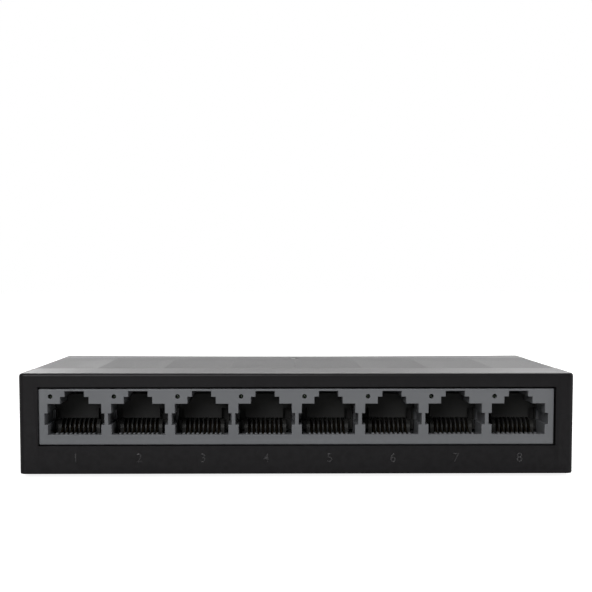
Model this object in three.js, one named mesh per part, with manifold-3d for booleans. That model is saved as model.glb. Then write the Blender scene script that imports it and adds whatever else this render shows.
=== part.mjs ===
// Eight-port desktop network switch, as an assembly of its separate parts.
// Millimetres, +Z up. The row of sockets runs along X and faces -Y. The origin is on the
// desk, under the middle of the case.
import * as THREE from 'three';
import { mergeVertices } from 'three/addons/utils/BufferGeometryUtils.js';
import Module from 'manifold-3d';

const wasm = await Module();
wasm.setup();

// ------------------------------------------------------------------ driving dimensions

// Case: a moulded cover, open below, with a base plate set into it.
const caseWidth = 122;
const caseDepth = 70;
const caseHeight = 22.3;
const wall = 2;
const cornerRadius = 1.2;
const topEdgeRadius = 0.7;
const baseThickness = 1.8;
const baseGap = 0.2;

// Top of the case: a plain front band, shallow flutes, and a plain band at the back.
const bandDepth = 16.3;
const backBandDepth = 9;
const fluteCount = 8;
const fluteDepth = 0.4;
const fluteSteps = 4;

// Rubber feet in round recesses under the corners.
const footDrop = 0.8;
const footRecess = 1;
const footRadius = 4.5;
const footGap = 0.2;
const footInsetX = 11;
const footInsetY = 10;

// Row of eight modular sockets, moulded as one block.
const portCount = 8;
const portPitch = 13.97;
const portBlockWidth = 113.55;
const portBlockDepth = 15.5;
const portBlockHeight = 12.42;
const portBlockChamfer = 0.35;
const portBlockRecess = 0.6;
const portBlockGap = 0.25;

// One socket, measured from its centre line and from the bottom of the block.
const mouthHalf = 5.87;
const mouthBottom = 2.28;
const mouthTop = 9.07;
const stepHalf = 3.1;
const stepTop = 10.6;
const latchHalf = 2.1;
const latchTop = 11.87;
const latchDepth = 12.6;
const notchHalf = 6.57;
const notchBottom = 4.46;
const notchTop = 6.96;
const notchDepth = 11;
const cavityDepth = 12.6;

// Eight wires in each socket, and the fingers of the block that part them at the front.
const wirePitch = 1.016;
const wireCount = 8;
const wireWidth = 0.36;
const wireThickness = 0.3;
const wireAngle = 19.2;
const wireLength = 9.4;
const rootRadius = 0.3;
const rootGap = 0.2;
const sillDepth = 1.4;
const fingerWidth = 0.5;
const fingerLength = 1.6;
const floorDepth = 3;
const fingerHeight = 0.48;
const fingerRise = 0.2;

// Black insert at the back and bottom of each socket. Ribs with rounded fronts part the wires.
const insertHalf = 4.7;
const insertGap = 0.1;
const insertThickness = 0.8;
const insertWall = 2.5;
const ribWidth = 0.3;
const ribReach = 3.2;
const ribFoot = 3.1;
const ribTop = 5;
const ribSteps = 4;
const slotDepth = 1.5;
const sidePockets = [[-6.1, -4.5], [4.0, 5.5]];
const sidePocketBottom = 4.55;
const sidePocketTop = 7.23;
const sidePocketDepth = 1.8;
const tailWidth = 0.5;
const tailDrop = 1.2;
const tailRows = [3.0, 5.54];

// Circuit board, its posts and its screws.
const boardThickness = 1.6;
const boardLift = 3;
const boardGap = 0.8;
const boardFrontGap = 0.4;
const boardBackGap = 0.5;
const holeGap = 0.2;
const postRadius = 2;
const boardScrewX = 54;
const boardScrewY = 4;
const boardScrewRadius = 1;
const boardScrewHead = 2.3;
const boardScrewHeadHeight = 1.6;

// Case screws, from below into bosses that hang from the roof.
const bossRadius = 3.2;
const padRadius = 5.5;
const padHeight = 2.2;
const caseScrewRadius = 1.3;
const caseScrewHead = 2.7;
const caseScrewHeadHeight = 1.5;
const caseScrewLength = 9;
const screwGap = 0.1;

// Tongues on the base plate that hook into the front wall.
const tongueWidth = 8;
const tongueReach = 0.8;
const tongueHeight = 1.2;
const tongueGap = 0.2;
const tongueX = 34;

// Light guides and the light-emitting diodes below them.
const guideOffset = 5.28;
const guideHeight = 10.71;
const guideHoleRadius = 0.52;
const guideRadius = 0.44;
const guideSetback = 0.3;
const guideBar = 1.6;
const ledHeight = 0.7;
const ledLength = 1.6;
const ledWidth = 0.8;
const ledGap = 0.2;
const powerFromBack = 10.9;
const powerRadius = 1.1;
const powerFlangeRadius = 2.2;
const powerFlangeHeight = 1;
const powerGap = 0.1;
const powerSetback = 0.15;

// Round inlet for the power adapter's plug, at the back.
const jackX = -34;
const jackWidth = 9;
const jackDepth = 14.2;
const jackHeight = 11;
const jackSetback = 0.2;
const jackGap = 0.25;
const jackAxisHeight = 6.5;
const jackBore = 3.2;
const jackBoreDepth = 9.5;
const jackPinRadius = 1;
const jackPinSetback = 0.9;
const bladeHalf = 1.2;
const bladeThickness = 0.6;
const bladeGap = 0.1;
const leafThickness = 0.3;
const leafLength = 7.6;
const leafAngle = 11.3;
const leafRoot = 0.4;
const leafDrop = 4.1;
const leafFromBack = 11.2;
const pocketGap = 0.4;
const stripThickness = 0.5;

// Parts on the board: middle of each in X and Y, then its size.
const chip = { x: 10, y: 8, width: 14, height: 1.4 };
const heatSink = { base: 1.5, height: 6, fins: 6, finWidth: 1 };
const transformer = { y: -9.5, width: 17, depth: 12, height: 5.6 };
const bigCapacitor = { x: -22, y: 26, radius: 4, height: 11.5 };
const smallCapacitor = { x: -12, y: 27.5, radius: 3.15, height: 7.5 };
const inductor = { x: -22, y: 14, width: 7, height: 4 };
const regulator = { x: -33, y: 12, width: 5, depth: 6.2, height: 1.5 };
const crystal = { x: 28, y: 14, length: 11, width: 4.6, height: 3.6 };

// Openings in the case: cooling slots, and keyholes for hanging it on two screws.
const sideSlot = { count: 9, pitch: 4, width: 1.8, bottom: 8, height: 8, middle: 4 };
const baseSlot = { count: 9, pitch: 4, width: 1.8, length: 20, middle: 6 };
const keyholeX = 40;
const keyholeRadius = 3.75;
const keySlotHalf = 1.9;
const keySlotLength = 7;

const roundSides = 24;
const smallSides = 12;
const overshoot = 1;

// ------------------------------------------------------------------ places worked out

const caseBottom = footDrop;
const caseTop = caseBottom + caseHeight;
const roof = caseTop - wall;
const front = -caseDepth / 2;
const back = caseDepth / 2;
const innerHalfX = caseWidth / 2 - wall;
const innerFront = front + wall;
const innerBack = back - wall;
const bandBack = front + bandDepth;
const baseTop = caseBottom + baseThickness;
const padTop = baseTop + padHeight;
const boardBottom = baseTop + boardLift;
const boardTop = boardBottom + boardThickness;
const recessTop = caseBottom + footRecess;
const footX = caseWidth / 2 - footInsetX;
const footY = caseDepth / 2 - footInsetY;
const powerY = back - powerFromBack;

const blockHalf = portBlockWidth / 2;
const blockFront = front + portBlockRecess;
const blockBack = blockFront + portBlockDepth;
const blockBottom = boardTop;
const blockTop = blockBottom + portBlockHeight;
const cavityBack = blockFront + cavityDepth;
const insertFront = blockFront + sillDepth + insertGap;
const insertBack = cavityBack - insertGap;
const insertTop = blockBottom + insertThickness;
const insertWallFront = insertBack - insertWall;
const wireRootY = insertFront + rootGap + rootRadius;
const wireRootZ = insertTop + rootGap + rootRadius;
const guideZ = blockBottom + guideHeight;
const ledY = blockBack + guideBar / 2;
const ledTop = boardTop + ledHeight;

const jackBack = back - jackSetback;
const jackFront = jackBack - jackDepth;
const jackTop = boardTop + jackHeight;
const jackZ = boardTop + jackAxisHeight;
const jackBoreFront = jackBack - jackBoreDepth;
const leafY = jackBack - leafFromBack;
const leafZ = jackZ - leafDrop;
const pocketHalf = bladeHalf + pocketGap;

const portX = (port) => (port - (portCount - 1) / 2) * portPitch;
const wireX = (wire) => (wire - (wireCount - 1) / 2) * wirePitch;
const ports = Array.from({ length: portCount }, (_, port) => port);
const wires = Array.from({ length: wireCount }, (_, wire) => wire);
const sides = [-1, 1];

// ------------------------------------------------------------------ solids and finishes

// A closed three.js geometry as a solid that can be joined and cut.
function solid(geometry) {
  const bare = geometry.index ? geometry.toNonIndexed() : geometry;
  bare.deleteAttribute('normal');
  bare.deleteAttribute('uv');
  const merged = mergeVertices(bare, 1e-5);
  const mesh = new wasm.Mesh({
    numProp: 3,
    vertProperties: new Float32Array(merged.attributes.position.array),
    triVerts: new Uint32Array(merged.index.array),
  });
  return new wasm.Manifold(mesh);
}

// The finished solid as a geometry for its mesh.
function geometryOf(body) {
  const mesh = body.getMesh();
  const geometry = new THREE.BufferGeometry();
  geometry.setAttribute('position', new THREE.BufferAttribute(mesh.vertProperties, 3));
  geometry.setIndex(new THREE.BufferAttribute(mesh.triVerts, 1));
  geometry.computeVertexNormals();
  return geometry;
}

// A box between two limits on each axis.
function box([x0, x1], [y0, y1], [z0, z1]) {
  const geometry = new THREE.BoxGeometry(x1 - x0, y1 - y0, z1 - z0);
  geometry.translate((x0 + x1) / 2, (y0 + y1) / 2, (z0 + z1) / 2);
  return solid(geometry);
}

// An upright cylinder at (x, y).
function post(radius, x, y, [z0, z1], segments = smallSides) {
  const geometry = new THREE.CylinderGeometry(radius, radius, z1 - z0, segments);
  geometry.rotateX(Math.PI / 2);
  geometry.translate(x, y, (z0 + z1) / 2);
  return solid(geometry);
}

// A level cylinder along Y, at (x, z).
function rodAlongY(radius, x, z, [y0, y1], segments = smallSides) {
  const geometry = new THREE.CylinderGeometry(radius, radius, y1 - y0, segments);
  geometry.translate(x, (y0 + y1) / 2, z);
  return solid(geometry);
}

// A level cylinder along X, at (y, z).
function rodAlongX(radius, y, z, [x0, x1], segments = smallSides) {
  const geometry = new THREE.CylinderGeometry(radius, radius, x1 - x0, segments);
  geometry.rotateZ(Math.PI / 2);
  geometry.translate((x0 + x1) / 2, y, z);
  return solid(geometry);
}

// An outline in X and Z, carried along Y. A bevel, if any, is inside the outline.
function alongY(points, [y0, y1], bevel = 0) {
  const outline = new THREE.Shape(points.map(([x, z]) => new THREE.Vector2(x, z)));
  const geometry = new THREE.ExtrudeGeometry(outline, {
    depth: y1 - y0 - 2 * bevel,
    bevelEnabled: bevel > 0,
    bevelSize: bevel,
    bevelOffset: -bevel,
    bevelThickness: bevel,
    bevelSegments: 1,
  });
  geometry.rotateX(Math.PI / 2);
  geometry.translate(0, y1 - bevel, 0);
  return solid(geometry);
}

// An outline in Y and Z, carried along X.
function alongX(points, [x0, x1]) {
  const outline = new THREE.Shape(points.map(([y, z]) => new THREE.Vector2(y, z)));
  const geometry = new THREE.ExtrudeGeometry(outline, { depth: x1 - x0, bevelEnabled: false });
  geometry.rotateY(Math.PI / 2);
  geometry.rotateX(Math.PI / 2);
  geometry.translate(x0, 0, 0);
  return solid(geometry);
}

const joinAll = (bodies) => bodies.reduce((whole, body) => whole.add(body));
const cutAll = (whole, bodies) => bodies.reduce((rest, body) => rest.subtract(body), whole);

const finishes = {
  casePlastic: { color: 0x242526, roughness: 0.45, metalness: 0 },
  socketPlastic: { color: 0x6a6c6f, roughness: 0.5, metalness: 0 },
  insertPlastic: { color: 0x101012, roughness: 0.55, metalness: 0 },
  rubber: { color: 0x1a1a1b, roughness: 0.9, metalness: 0 },
  steel: { color: 0xa8aaad, roughness: 0.35, metalness: 1 },
  gold: { color: 0xd6a548, roughness: 0.25, metalness: 1 },
  clearPlastic: { color: 0xd9e4d6, roughness: 0.15, metalness: 0 },
  diode: { color: 0xe9eedc, roughness: 0.3, metalness: 0 },
  boardGreen: { color: 0x1d5a34, roughness: 0.45, metalness: 0 },
  chipEpoxy: { color: 0x19191b, roughness: 0.6, metalness: 0 },
  aluminium: { color: 0x8f9296, roughness: 0.4, metalness: 1 },
};

const networkSwitch = new THREE.Group();

function place(name, body, finish, x = 0) {
  const material = new THREE.MeshStandardMaterial(finishes[finish]);
  const mesh = new THREE.Mesh(geometryOf(body), material);
  mesh.name = name;
  mesh.position.x = x;
  networkSwitch.add(mesh);
}

// ------------------------------------------------------------------ case

// Outside of the cover: a rectangle with rounded corners, rounded over at the top.
function coverOutside() {
  const halfX = caseWidth / 2;
  const r = cornerRadius;
  const outline = new THREE.Shape();
  outline.moveTo(-halfX + r, front);
  outline.lineTo(halfX - r, front);
  outline.absarc(halfX - r, front + r, r, -Math.PI / 2, 0);
  outline.lineTo(halfX, back - r);
  outline.absarc(halfX - r, back - r, r, 0, Math.PI / 2);
  outline.lineTo(-halfX + r, back);
  outline.absarc(-halfX + r, back - r, r, Math.PI / 2, Math.PI);
  outline.lineTo(-halfX, front + r);
  outline.absarc(-halfX + r, front + r, r, Math.PI, 1.5 * Math.PI);
  const geometry = new THREE.ExtrudeGeometry(outline, {
    depth: caseHeight,
    curveSegments: 4,
    bevelSize: topEdgeRadius,
    bevelOffset: -topEdgeRadius,
    bevelThickness: topEdgeRadius,
    bevelSegments: 3,
  });
  geometry.translate(0, 0, caseBottom - topEdgeRadius);
  const below = box([-halfX - overshoot, halfX + overshoot],
    [front - overshoot, back + overshoot], [caseBottom - 2 * overshoot, caseBottom]);
  return solid(geometry).subtract(below);
}

// What the flutes take off the roof: shallow arcs side by side, highest where they meet.
function flutes() {
  const half = caseWidth / 2;
  const pitch = caseWidth / fluteCount;
  const points = [[half + overshoot, caseTop], [half + overshoot, caseTop + overshoot],
    [-half - overshoot, caseTop + overshoot], [-half - overshoot, caseTop]];
  for (let step = 0; step <= fluteCount * fluteSteps; step += 1) {
    const across = (2 * (step % fluteSteps)) / fluteSteps - 1;
    const depth = fluteDepth * (1 - across * across);
    points.push([-half + (step * pitch) / fluteSteps, caseTop - depth]);
  }
  return alongY(points, [bandBack, back - backBandDepth]);
}

function topCover() {
  const hollow = box([-innerHalfX, innerHalfX], [innerFront, innerBack],
    [caseBottom - overshoot, roof]);
  const window = box([-blockHalf - portBlockGap, blockHalf + portBlockGap],
    [front - overshoot, innerFront + overshoot],
    [blockBottom - portBlockGap, blockTop + portBlockGap]);
  const jackCut = box([jackX - jackWidth / 2 - jackGap, jackX + jackWidth / 2 + jackGap],
    [innerBack - overshoot, back + overshoot], [caseBottom - overshoot, jackTop + jackGap]);
  const lensHole = post(powerRadius + powerGap, 0, powerY, [roof - overshoot, caseTop + overshoot]);
  const cuts = [hollow, flutes(), window, jackCut, lensHole];
  for (const side of sides) {
    const middle = side * tongueX;
    const half = tongueWidth / 2 + tongueGap;
    cuts.push(box([middle - half, middle + half],
      [innerFront - tongueReach - tongueGap, innerFront + overshoot],
      [baseTop - tongueGap, baseTop + tongueHeight + tongueGap]));
    for (let slot = 0; slot < sideSlot.count; slot += 1) {
      const y = sideSlot.middle + (slot - (sideSlot.count - 1) / 2) * sideSlot.pitch;
      const outside = side * (caseWidth / 2 + overshoot);
      const inside = side * (innerHalfX - overshoot);
      cuts.push(box([Math.min(inside, outside), Math.max(inside, outside)],
        [y - sideSlot.width / 2, y + sideSlot.width / 2],
        [sideSlot.bottom, sideSlot.bottom + sideSlot.height]));
    }
  }
  let cover = cutAll(coverOutside(), cuts);
  for (const side of sides) {
    const boss = post(bossRadius, side * footX, footY, [padTop, roof + overshoot / 2]);
    const pilot = post(caseScrewRadius + screwGap, side * footX, footY,
      [padTop - overshoot, padTop + caseScrewLength]);
    cover = cover.add(boss).subtract(pilot);
  }
  return cover;
}

// Places where a post under the board holds it up: two take screws, the rest only support.
const screwPosts = sides.map((side) => [side * boardScrewX, boardScrewY]);
const supportX = 3 * portPitch;
const supportY = blockBack;
const supportPosts = [[-supportX, supportY], [0, supportY], [supportX, supportY],
  [-portPitch, innerBack - 2 * postRadius], [2 * portPitch, innerBack - 2 * postRadius]];

function keyhole(x) {
  const depth = [caseBottom - overshoot, baseTop + overshoot];
  const round = post(keyholeRadius, x, 0, depth, roundSides);
  const slot = box([x - keySlotHalf, x + keySlotHalf], [0, keySlotLength], depth);
  return round.add(slot).add(post(keySlotHalf, x, keySlotLength, depth));
}

function baseCover() {
  const plateHalf = innerHalfX - baseGap;
  const plateBack = innerBack - baseGap;
  const bodies = [box([-plateHalf, plateHalf], [innerFront + baseGap, plateBack],
    [caseBottom, baseTop])];
  const jackSides = [jackX - jackWidth / 2, jackX + jackWidth / 2];
  bodies.push(box(jackSides, [plateBack - overshoot, jackBack], [caseBottom, baseTop]));
  bodies.push(box(jackSides, [plateBack, jackBack], [caseBottom, boardTop - jackGap]));
  for (const side of sides) {
    bodies.push(post(padRadius, side * footX, footY, [baseTop - overshoot, padTop]));
    bodies.push(box([side * tongueX - tongueWidth / 2, side * tongueX + tongueWidth / 2],
      [innerFront - tongueReach, innerFront + baseGap + wall],
      [baseTop, baseTop + tongueHeight]));
  }
  for (const [x, y] of [...screwPosts, ...supportPosts]) {
    bodies.push(post(postRadius, x, y, [baseTop - overshoot, boardBottom]));
  }
  const cuts = [keyhole(-keyholeX), keyhole(keyholeX)];
  for (const [x, y] of screwPosts) {
    cuts.push(post(boardScrewRadius + screwGap, x, y, [baseTop, boardBottom + overshoot]));
  }
  for (const side of sides) {
    const x = side * footX;
    for (const y of [-footY, footY]) {
      cuts.push(post(footRadius + footGap, x, y, [caseBottom - overshoot, recessTop], roundSides));
    }
    cuts.push(post(caseScrewHead + screwGap, x, footY,
      [recessTop - overshoot / 2, recessTop + caseScrewHeadHeight + screwGap]));
    cuts.push(post(caseScrewRadius + screwGap, x, footY, [recessTop, padTop + overshoot]));
  }
  for (let slot = 0; slot < baseSlot.count; slot += 1) {
    const x = (slot - (baseSlot.count - 1) / 2) * baseSlot.pitch;
    cuts.push(box([x - baseSlot.width / 2, x + baseSlot.width / 2],
      [baseSlot.middle - baseSlot.length / 2, baseSlot.middle + baseSlot.length / 2],
      [caseBottom - overshoot, baseTop + overshoot]));
  }
  return cutAll(joinAll(bodies), cuts);
}

function caseScrew() {
  const headTop = recessTop + caseScrewHeadHeight + screwGap;
  const head = post(caseScrewHead, 0, footY, [recessTop + screwGap, headTop]);
  return head.add(post(caseScrewRadius, 0, footY,
    [headTop - overshoot / 2, headTop + caseScrewLength]));
}

function boardScrew() {
  const head = post(boardScrewHead, 0, boardScrewY, [boardTop, boardTop + boardScrewHeadHeight]);
  return head.add(post(boardScrewRadius, 0, boardScrewY,
    [baseTop + 2 * screwGap, boardTop + overshoot / 2]));
}

place('top_cover', topCover(), 'casePlastic');
place('base_cover', baseCover(), 'casePlastic');
for (const [end, y] of [['front', -footY], ['rear', footY]]) {
  for (const [hand, side] of [['left', -1], ['right', 1]]) {
    const foot = post(footRadius, 0, y, [0, recessTop], roundSides);
    place(`foot_${end}_${hand}`, foot, 'rubber', side * footX);
  }
}
place('case_screw_left', caseScrew(), 'steel', -footX);
place('case_screw_right', caseScrew(), 'steel', footX);
place('board_screw_left', boardScrew(), 'steel', -boardScrewX);
place('board_screw_right', boardScrew(), 'steel', boardScrewX);

// ------------------------------------------------------------------ sockets

// The mouth of one socket: the plug's body, with a step and a slot above for its latch.
function socketCavity(x) {
  const z = (height) => blockBottom + height;
  const start = blockFront - overshoot;
  const mouth = [[-mouthHalf, z(mouthBottom)], [mouthHalf, z(mouthBottom)],
    [mouthHalf, z(mouthTop)], [stepHalf, z(mouthTop)], [stepHalf, z(stepTop)],
    [-stepHalf, z(stepTop)], [-stepHalf, z(mouthTop)], [-mouthHalf, z(mouthTop)]];
  const latch = box([-latchHalf, latchHalf], [start, blockFront + latchDepth],
    [z(mouthTop), z(latchTop)]);
  const notches = box([-notchHalf, notchHalf], [start, blockFront + notchDepth],
    [z(notchBottom), z(notchTop)]);
  const well = box([-insertHalf - insertGap, insertHalf + insertGap],
    [insertFront - insertGap, insertBack + insertGap],
    [blockBottom - overshoot, z(mouthBottom) + overshoot]);
  // Behind the sill and its fingers the floor is open over the full width of the plug.
  const openFloor = box([-mouthHalf, mouthHalf], [blockFront + floorDepth, cavityBack],
    [blockBottom - overshoot, z(mouthBottom) + overshoot]);
  const guide = rodAlongY(guideHoleRadius, -guideOffset, guideZ, [start, blockBack + overshoot]);
  return joinAll([alongY(mouth, [start, cavityBack]), latch, notches, well, openFloor,
    guide])
    .translate([x, 0, 0]);
}

// Middle of each rib and finger between the wires, and of one more at each end of the row.
const gapX = Array.from({ length: wireCount + 1 }, (_, gap) => (gap - wireCount / 2) * wirePitch);

// Fingers that reach back from the sill and stand a little above the floor of the socket.
function wireFingers(x) {
  const floor = blockBottom + mouthBottom;
  const start = blockFront + sillDepth;
  return gapX.map((middle) => box(
    [x + middle - fingerWidth / 2, x + middle + fingerWidth / 2],
    [start - overshoot / 2, start + fingerLength],
    [floor - fingerHeight, floor + fingerRise],
  ));
}

const pegRadius = 1.5;
const pegX = 2 * portPitch;
const pegY = cavityBack - 2 * pegRadius;

function portBlock() {
  const outline = [[-blockHalf, blockBottom], [blockHalf, blockBottom],
    [blockHalf, blockTop], [-blockHalf, blockTop]];
  const bodies = [alongY(outline, [blockFront, blockBack], portBlockChamfer)];
  for (const side of sides) {
    bodies.push(post(pegRadius, side * pegX, pegY,
      [boardBottom - tailDrop, blockBottom + overshoot]));
  }
  const block = cutAll(joinAll(bodies), ports.map((port) => socketCavity(portX(port))));
  return joinAll([block, ...ports.flatMap((port) => wireFingers(portX(port)))]);
}

// Side view of the comb, in Y and Z: upright at the front, then a quarter of an ellipse up
// to the wall behind it.
function ribOutline() {
  const points = [[insertBack, insertTop - overshoot / 2]];
  points.push([insertWallFront - ribReach, insertTop - overshoot / 2]);
  for (let step = 0; step <= ribSteps; step += 1) {
    const turn = (step / ribSteps) * (Math.PI / 2);
    points.push([insertWallFront - ribReach * Math.cos(turn),
      blockBottom + ribFoot + (ribTop - ribFoot) * Math.sin(turn)]);
  }
  points.push([insertBack, blockBottom + ribTop]);
  return points;
}

// Black insert: a slab with the wires' solder tails, and a wall that closes the socket's back.
// The comb in front of the wall has a slot for each wire.
function contactInsert() {
  const z = (height) => blockBottom + height;
  const wallY = [insertWallFront, insertBack];
  const wallHalf = mouthHalf - insertGap;
  const slab = box([-insertHalf, insertHalf], [insertFront, insertBack], [blockBottom, insertTop]);
  const comb = alongX(ribOutline(), [-insertHalf, insertHalf]);
  const backWall = box([-wallHalf, wallHalf], wallY, [z(mouthBottom) + insertGap, z(mouthTop) - insertGap]);
  const step = box([-stepHalf + insertGap, stepHalf - insertGap], wallY,
    [z(mouthTop) - overshoot, z(stepTop) - insertGap]);
  const cuts = wires.map((wire) => box(
    [wireX(wire) - (wirePitch - ribWidth) / 2, wireX(wire) + (wirePitch - ribWidth) / 2],
    [insertWallFront - ribReach - overshoot, insertWallFront + slotDepth],
    [insertTop, z(ribTop)],
  ));
  for (const [x0, x1] of sidePockets) {
    cuts.push(box([x0, x1], [insertWallFront - overshoot, insertWallFront + sidePocketDepth],
      [z(sidePocketBottom), z(sidePocketTop)]));
  }
  const bodies = [cutAll(joinAll([slab, comb, backWall, step]), cuts)];
  for (const wire of wires) {
    const y = insertFront + tailRows[wire % tailRows.length];
    bodies.push(box([wireX(wire) - tailWidth / 2, wireX(wire) + tailWidth / 2],
      [y - tailWidth / 2, y + tailWidth / 2], [boardBottom - tailDrop, insertTop - overshoot / 2]));
  }
  return joinAll(bodies);
}

// A flat strip that leaves its root and rises towards +Y at an angle in degrees.
function risingStrip(x, halfWidth, thickness, length, y, z, angle) {
  const geometry = new THREE.BoxGeometry(2 * halfWidth, length, thickness);
  geometry.translate(0, length / 2, 0);
  geometry.rotateX(THREE.MathUtils.degToRad(angle));
  geometry.translate(x, y, z);
  return solid(geometry);
}

// The eight wires of one socket, joined by a thin bar where they leave the insert.
function contactSprings() {
  const reach = wireX(wireCount - 1) + wireWidth / 2;
  const bodies = [rodAlongX(rootRadius, wireRootY, wireRootZ, [-reach, reach])];
  for (const wire of wires) {
    bodies.push(risingStrip(wireX(wire), wireWidth / 2, wireThickness, wireLength,
      wireRootY, wireRootZ, wireAngle));
  }
  return joinAll(bodies);
}

// Clear guide: one prong to the front for each socket, one leg down to each diode.
function lightGuide() {
  const y = [blockBack, blockBack + guideBar];
  const first = portX(0) - guideOffset - guideBar / 2;
  const last = portX(portCount - 1) - guideOffset + guideBar / 2;
  const bodies = [box([first, last], y, [guideZ - guideBar / 2, guideZ + guideBar / 2])];
  for (const port of ports) {
    const x = portX(port) - guideOffset;
    bodies.push(rodAlongY(guideRadius, x, guideZ, [blockFront + guideSetback, blockBack + guideBar / 2]));
    bodies.push(box([x - guideBar / 2, x + guideBar / 2], y, [ledTop + ledGap, guideZ]));
  }
  return joinAll(bodies);
}

function diode(y) {
  return box([-ledLength / 2, ledLength / 2], [y - ledWidth / 2, y + ledWidth / 2], [boardTop, ledTop]);
}

function powerLens() {
  const stem = post(powerRadius, 0, powerY, [ledTop + ledGap, caseTop - powerSetback]);
  return stem.add(post(powerFlangeRadius, 0, powerY, [roof - powerFlangeHeight, roof]));
}

place('port_block', portBlock(), 'socketPlastic');
for (const port of ports) {
  place(`contact_insert_${port + 1}`, contactInsert(), 'insertPlastic', portX(port));
  place(`contact_springs_${port + 1}`, contactSprings(), 'gold', portX(port));
  place(`port_led_${port + 1}`, diode(ledY), 'diode', portX(port) - guideOffset);
}
place('light_guide', lightGuide(), 'clearPlastic');
place('power_lens', powerLens(), 'clearPlastic');
place('power_led', diode(powerY), 'diode');

// ------------------------------------------------------------------ power inlet

function jackHousing() {
  const half = jackWidth / 2;
  const body = box([-half, half], [jackFront, jackBack], [boardTop, jackTop]);
  const bore = rodAlongY(jackBore, 0, jackZ, [jackBoreFront, jackBack + overshoot], roundSides);
  const pinHole = rodAlongY(jackPinRadius + bladeGap, 0, jackZ,
    [jackFront - overshoot, jackBoreFront + overshoot]);
  const pocket = box([-pocketHalf, pocketHalf],
    [leafY - leafRoot - stripThickness - 2 * bladeGap, leafY + leafLength + pocketGap],
    [leafZ - leafRoot - pocketGap, jackZ]);
  const stripSlot = box([-pocketHalf, pocketHalf],
    [leafY - leafRoot - stripThickness - 2 * bladeGap, leafY - leafRoot],
    [boardTop - overshoot, jackZ - jackPinRadius - pocketGap]);
  const lower = jackZ - jackPinRadius - pocketGap;
  const wallBand = box([-pocketHalf, pocketHalf], [jackFront, jackBoreFront], [lower, jackTop]);
  return cutAll(body, [bore, pinHole, pocket.subtract(wallBand), stripSlot]);
}

function jackPin() {
  const bladeBack = jackFront - bladeGap;
  const pin = rodAlongY(jackPinRadius, 0, jackZ,
    [bladeBack - bladeThickness / 2, jackBack - jackPinSetback]);
  return pin.add(box([-bladeHalf, bladeHalf], [bladeBack - bladeThickness, bladeBack],
    [boardBottom - tailDrop, jackZ + jackPinRadius]));
}

const stripBack = leafY - leafRoot - bladeGap;

function jackStrip() {
  return box([-bladeHalf, bladeHalf], [stripBack - stripThickness, stripBack],
    [boardBottom - tailDrop, leafZ + leafRoot]);
}

function jackLeaf() {
  const root = rodAlongX(leafRoot, leafY, leafZ, [-bladeHalf, bladeHalf]);
  return root.add(risingStrip(0, bladeHalf, leafThickness, leafLength, leafY, leafZ, leafAngle));
}

place('jack_housing', jackHousing(), 'insertPlastic', jackX);
place('jack_pin', jackPin(), 'steel', jackX);
place('jack_strip', jackStrip(), 'steel', jackX);
place('jack_leaf', jackLeaf(), 'steel', jackX);

// ------------------------------------------------------------------ circuit board

// A hole through the board, round or square, a little larger than what goes through it.
const boardDepth = [boardBottom - overshoot, boardTop + overshoot];

function squareHole(x, y, halfX, halfY) {
  return box([x - halfX - holeGap, x + halfX + holeGap],
    [y - halfY - holeGap, y + halfY + holeGap], boardDepth);
}

function circuitBoard() {
  const halfX = innerHalfX - boardGap;
  const board = box([-halfX, halfX], [innerFront + boardFrontGap, innerBack - boardBackGap],
    [boardBottom, boardTop]);
  const cuts = [];
  for (const side of sides) {
    cuts.push(post(bossRadius + holeGap, side * footX, footY, boardDepth));
    cuts.push(post(boardScrewRadius + holeGap, side * boardScrewX, boardScrewY, boardDepth));
    cuts.push(post(pegRadius + holeGap, side * pegX, pegY, boardDepth));
  }
  for (const port of ports) {
    for (const wire of wires) {
      const y = insertFront + tailRows[wire % tailRows.length];
      cuts.push(squareHole(portX(port) + wireX(wire), y, tailWidth / 2, tailWidth / 2));
    }
  }
  const bladeY = jackFront - bladeGap - bladeThickness / 2;
  cuts.push(squareHole(jackX, bladeY, bladeHalf, bladeThickness / 2));
  cuts.push(squareHole(jackX, stripBack - stripThickness / 2, bladeHalf, stripThickness / 2));
  return cutAll(board, cuts);
}

// A part that stands flat on the board.
function onBoard({ x = 0, y, width, depth = width, height }, bottom = boardTop) {
  return box([x - width / 2, x + width / 2], [y - depth / 2, y + depth / 2],
    [bottom, bottom + height]);
}

function chipHeatSink() {
  const bottom = boardTop + chip.height;
  const pitch = (chip.width - heatSink.finWidth) / (heatSink.fins - 1);
  const bodies = [onBoard({ ...chip, height: heatSink.base }, bottom)];
  for (let fin = 0; fin < heatSink.fins; fin += 1) {
    const x = chip.x - chip.width / 2 + heatSink.finWidth / 2 + fin * pitch;
    bodies.push(onBoard({ x, y: chip.y, width: heatSink.finWidth, depth: chip.width,
      height: heatSink.height }, bottom));
  }
  return joinAll(bodies);
}

function canCapacitor({ x, y, radius, height }) {
  return post(radius, x, y, [boardTop, boardTop + height], roundSides);
}

// A crystal in its flat can with round ends.
function crystalCan() {
  const end = (crystal.length - crystal.width) / 2;
  const height = [boardTop, boardTop + crystal.height];
  const can = onBoard({ ...crystal, width: 2 * end, depth: crystal.width });
  return can.add(post(crystal.width / 2, crystal.x - end, crystal.y, height))
    .add(post(crystal.width / 2, crystal.x + end, crystal.y, height));
}

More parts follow.
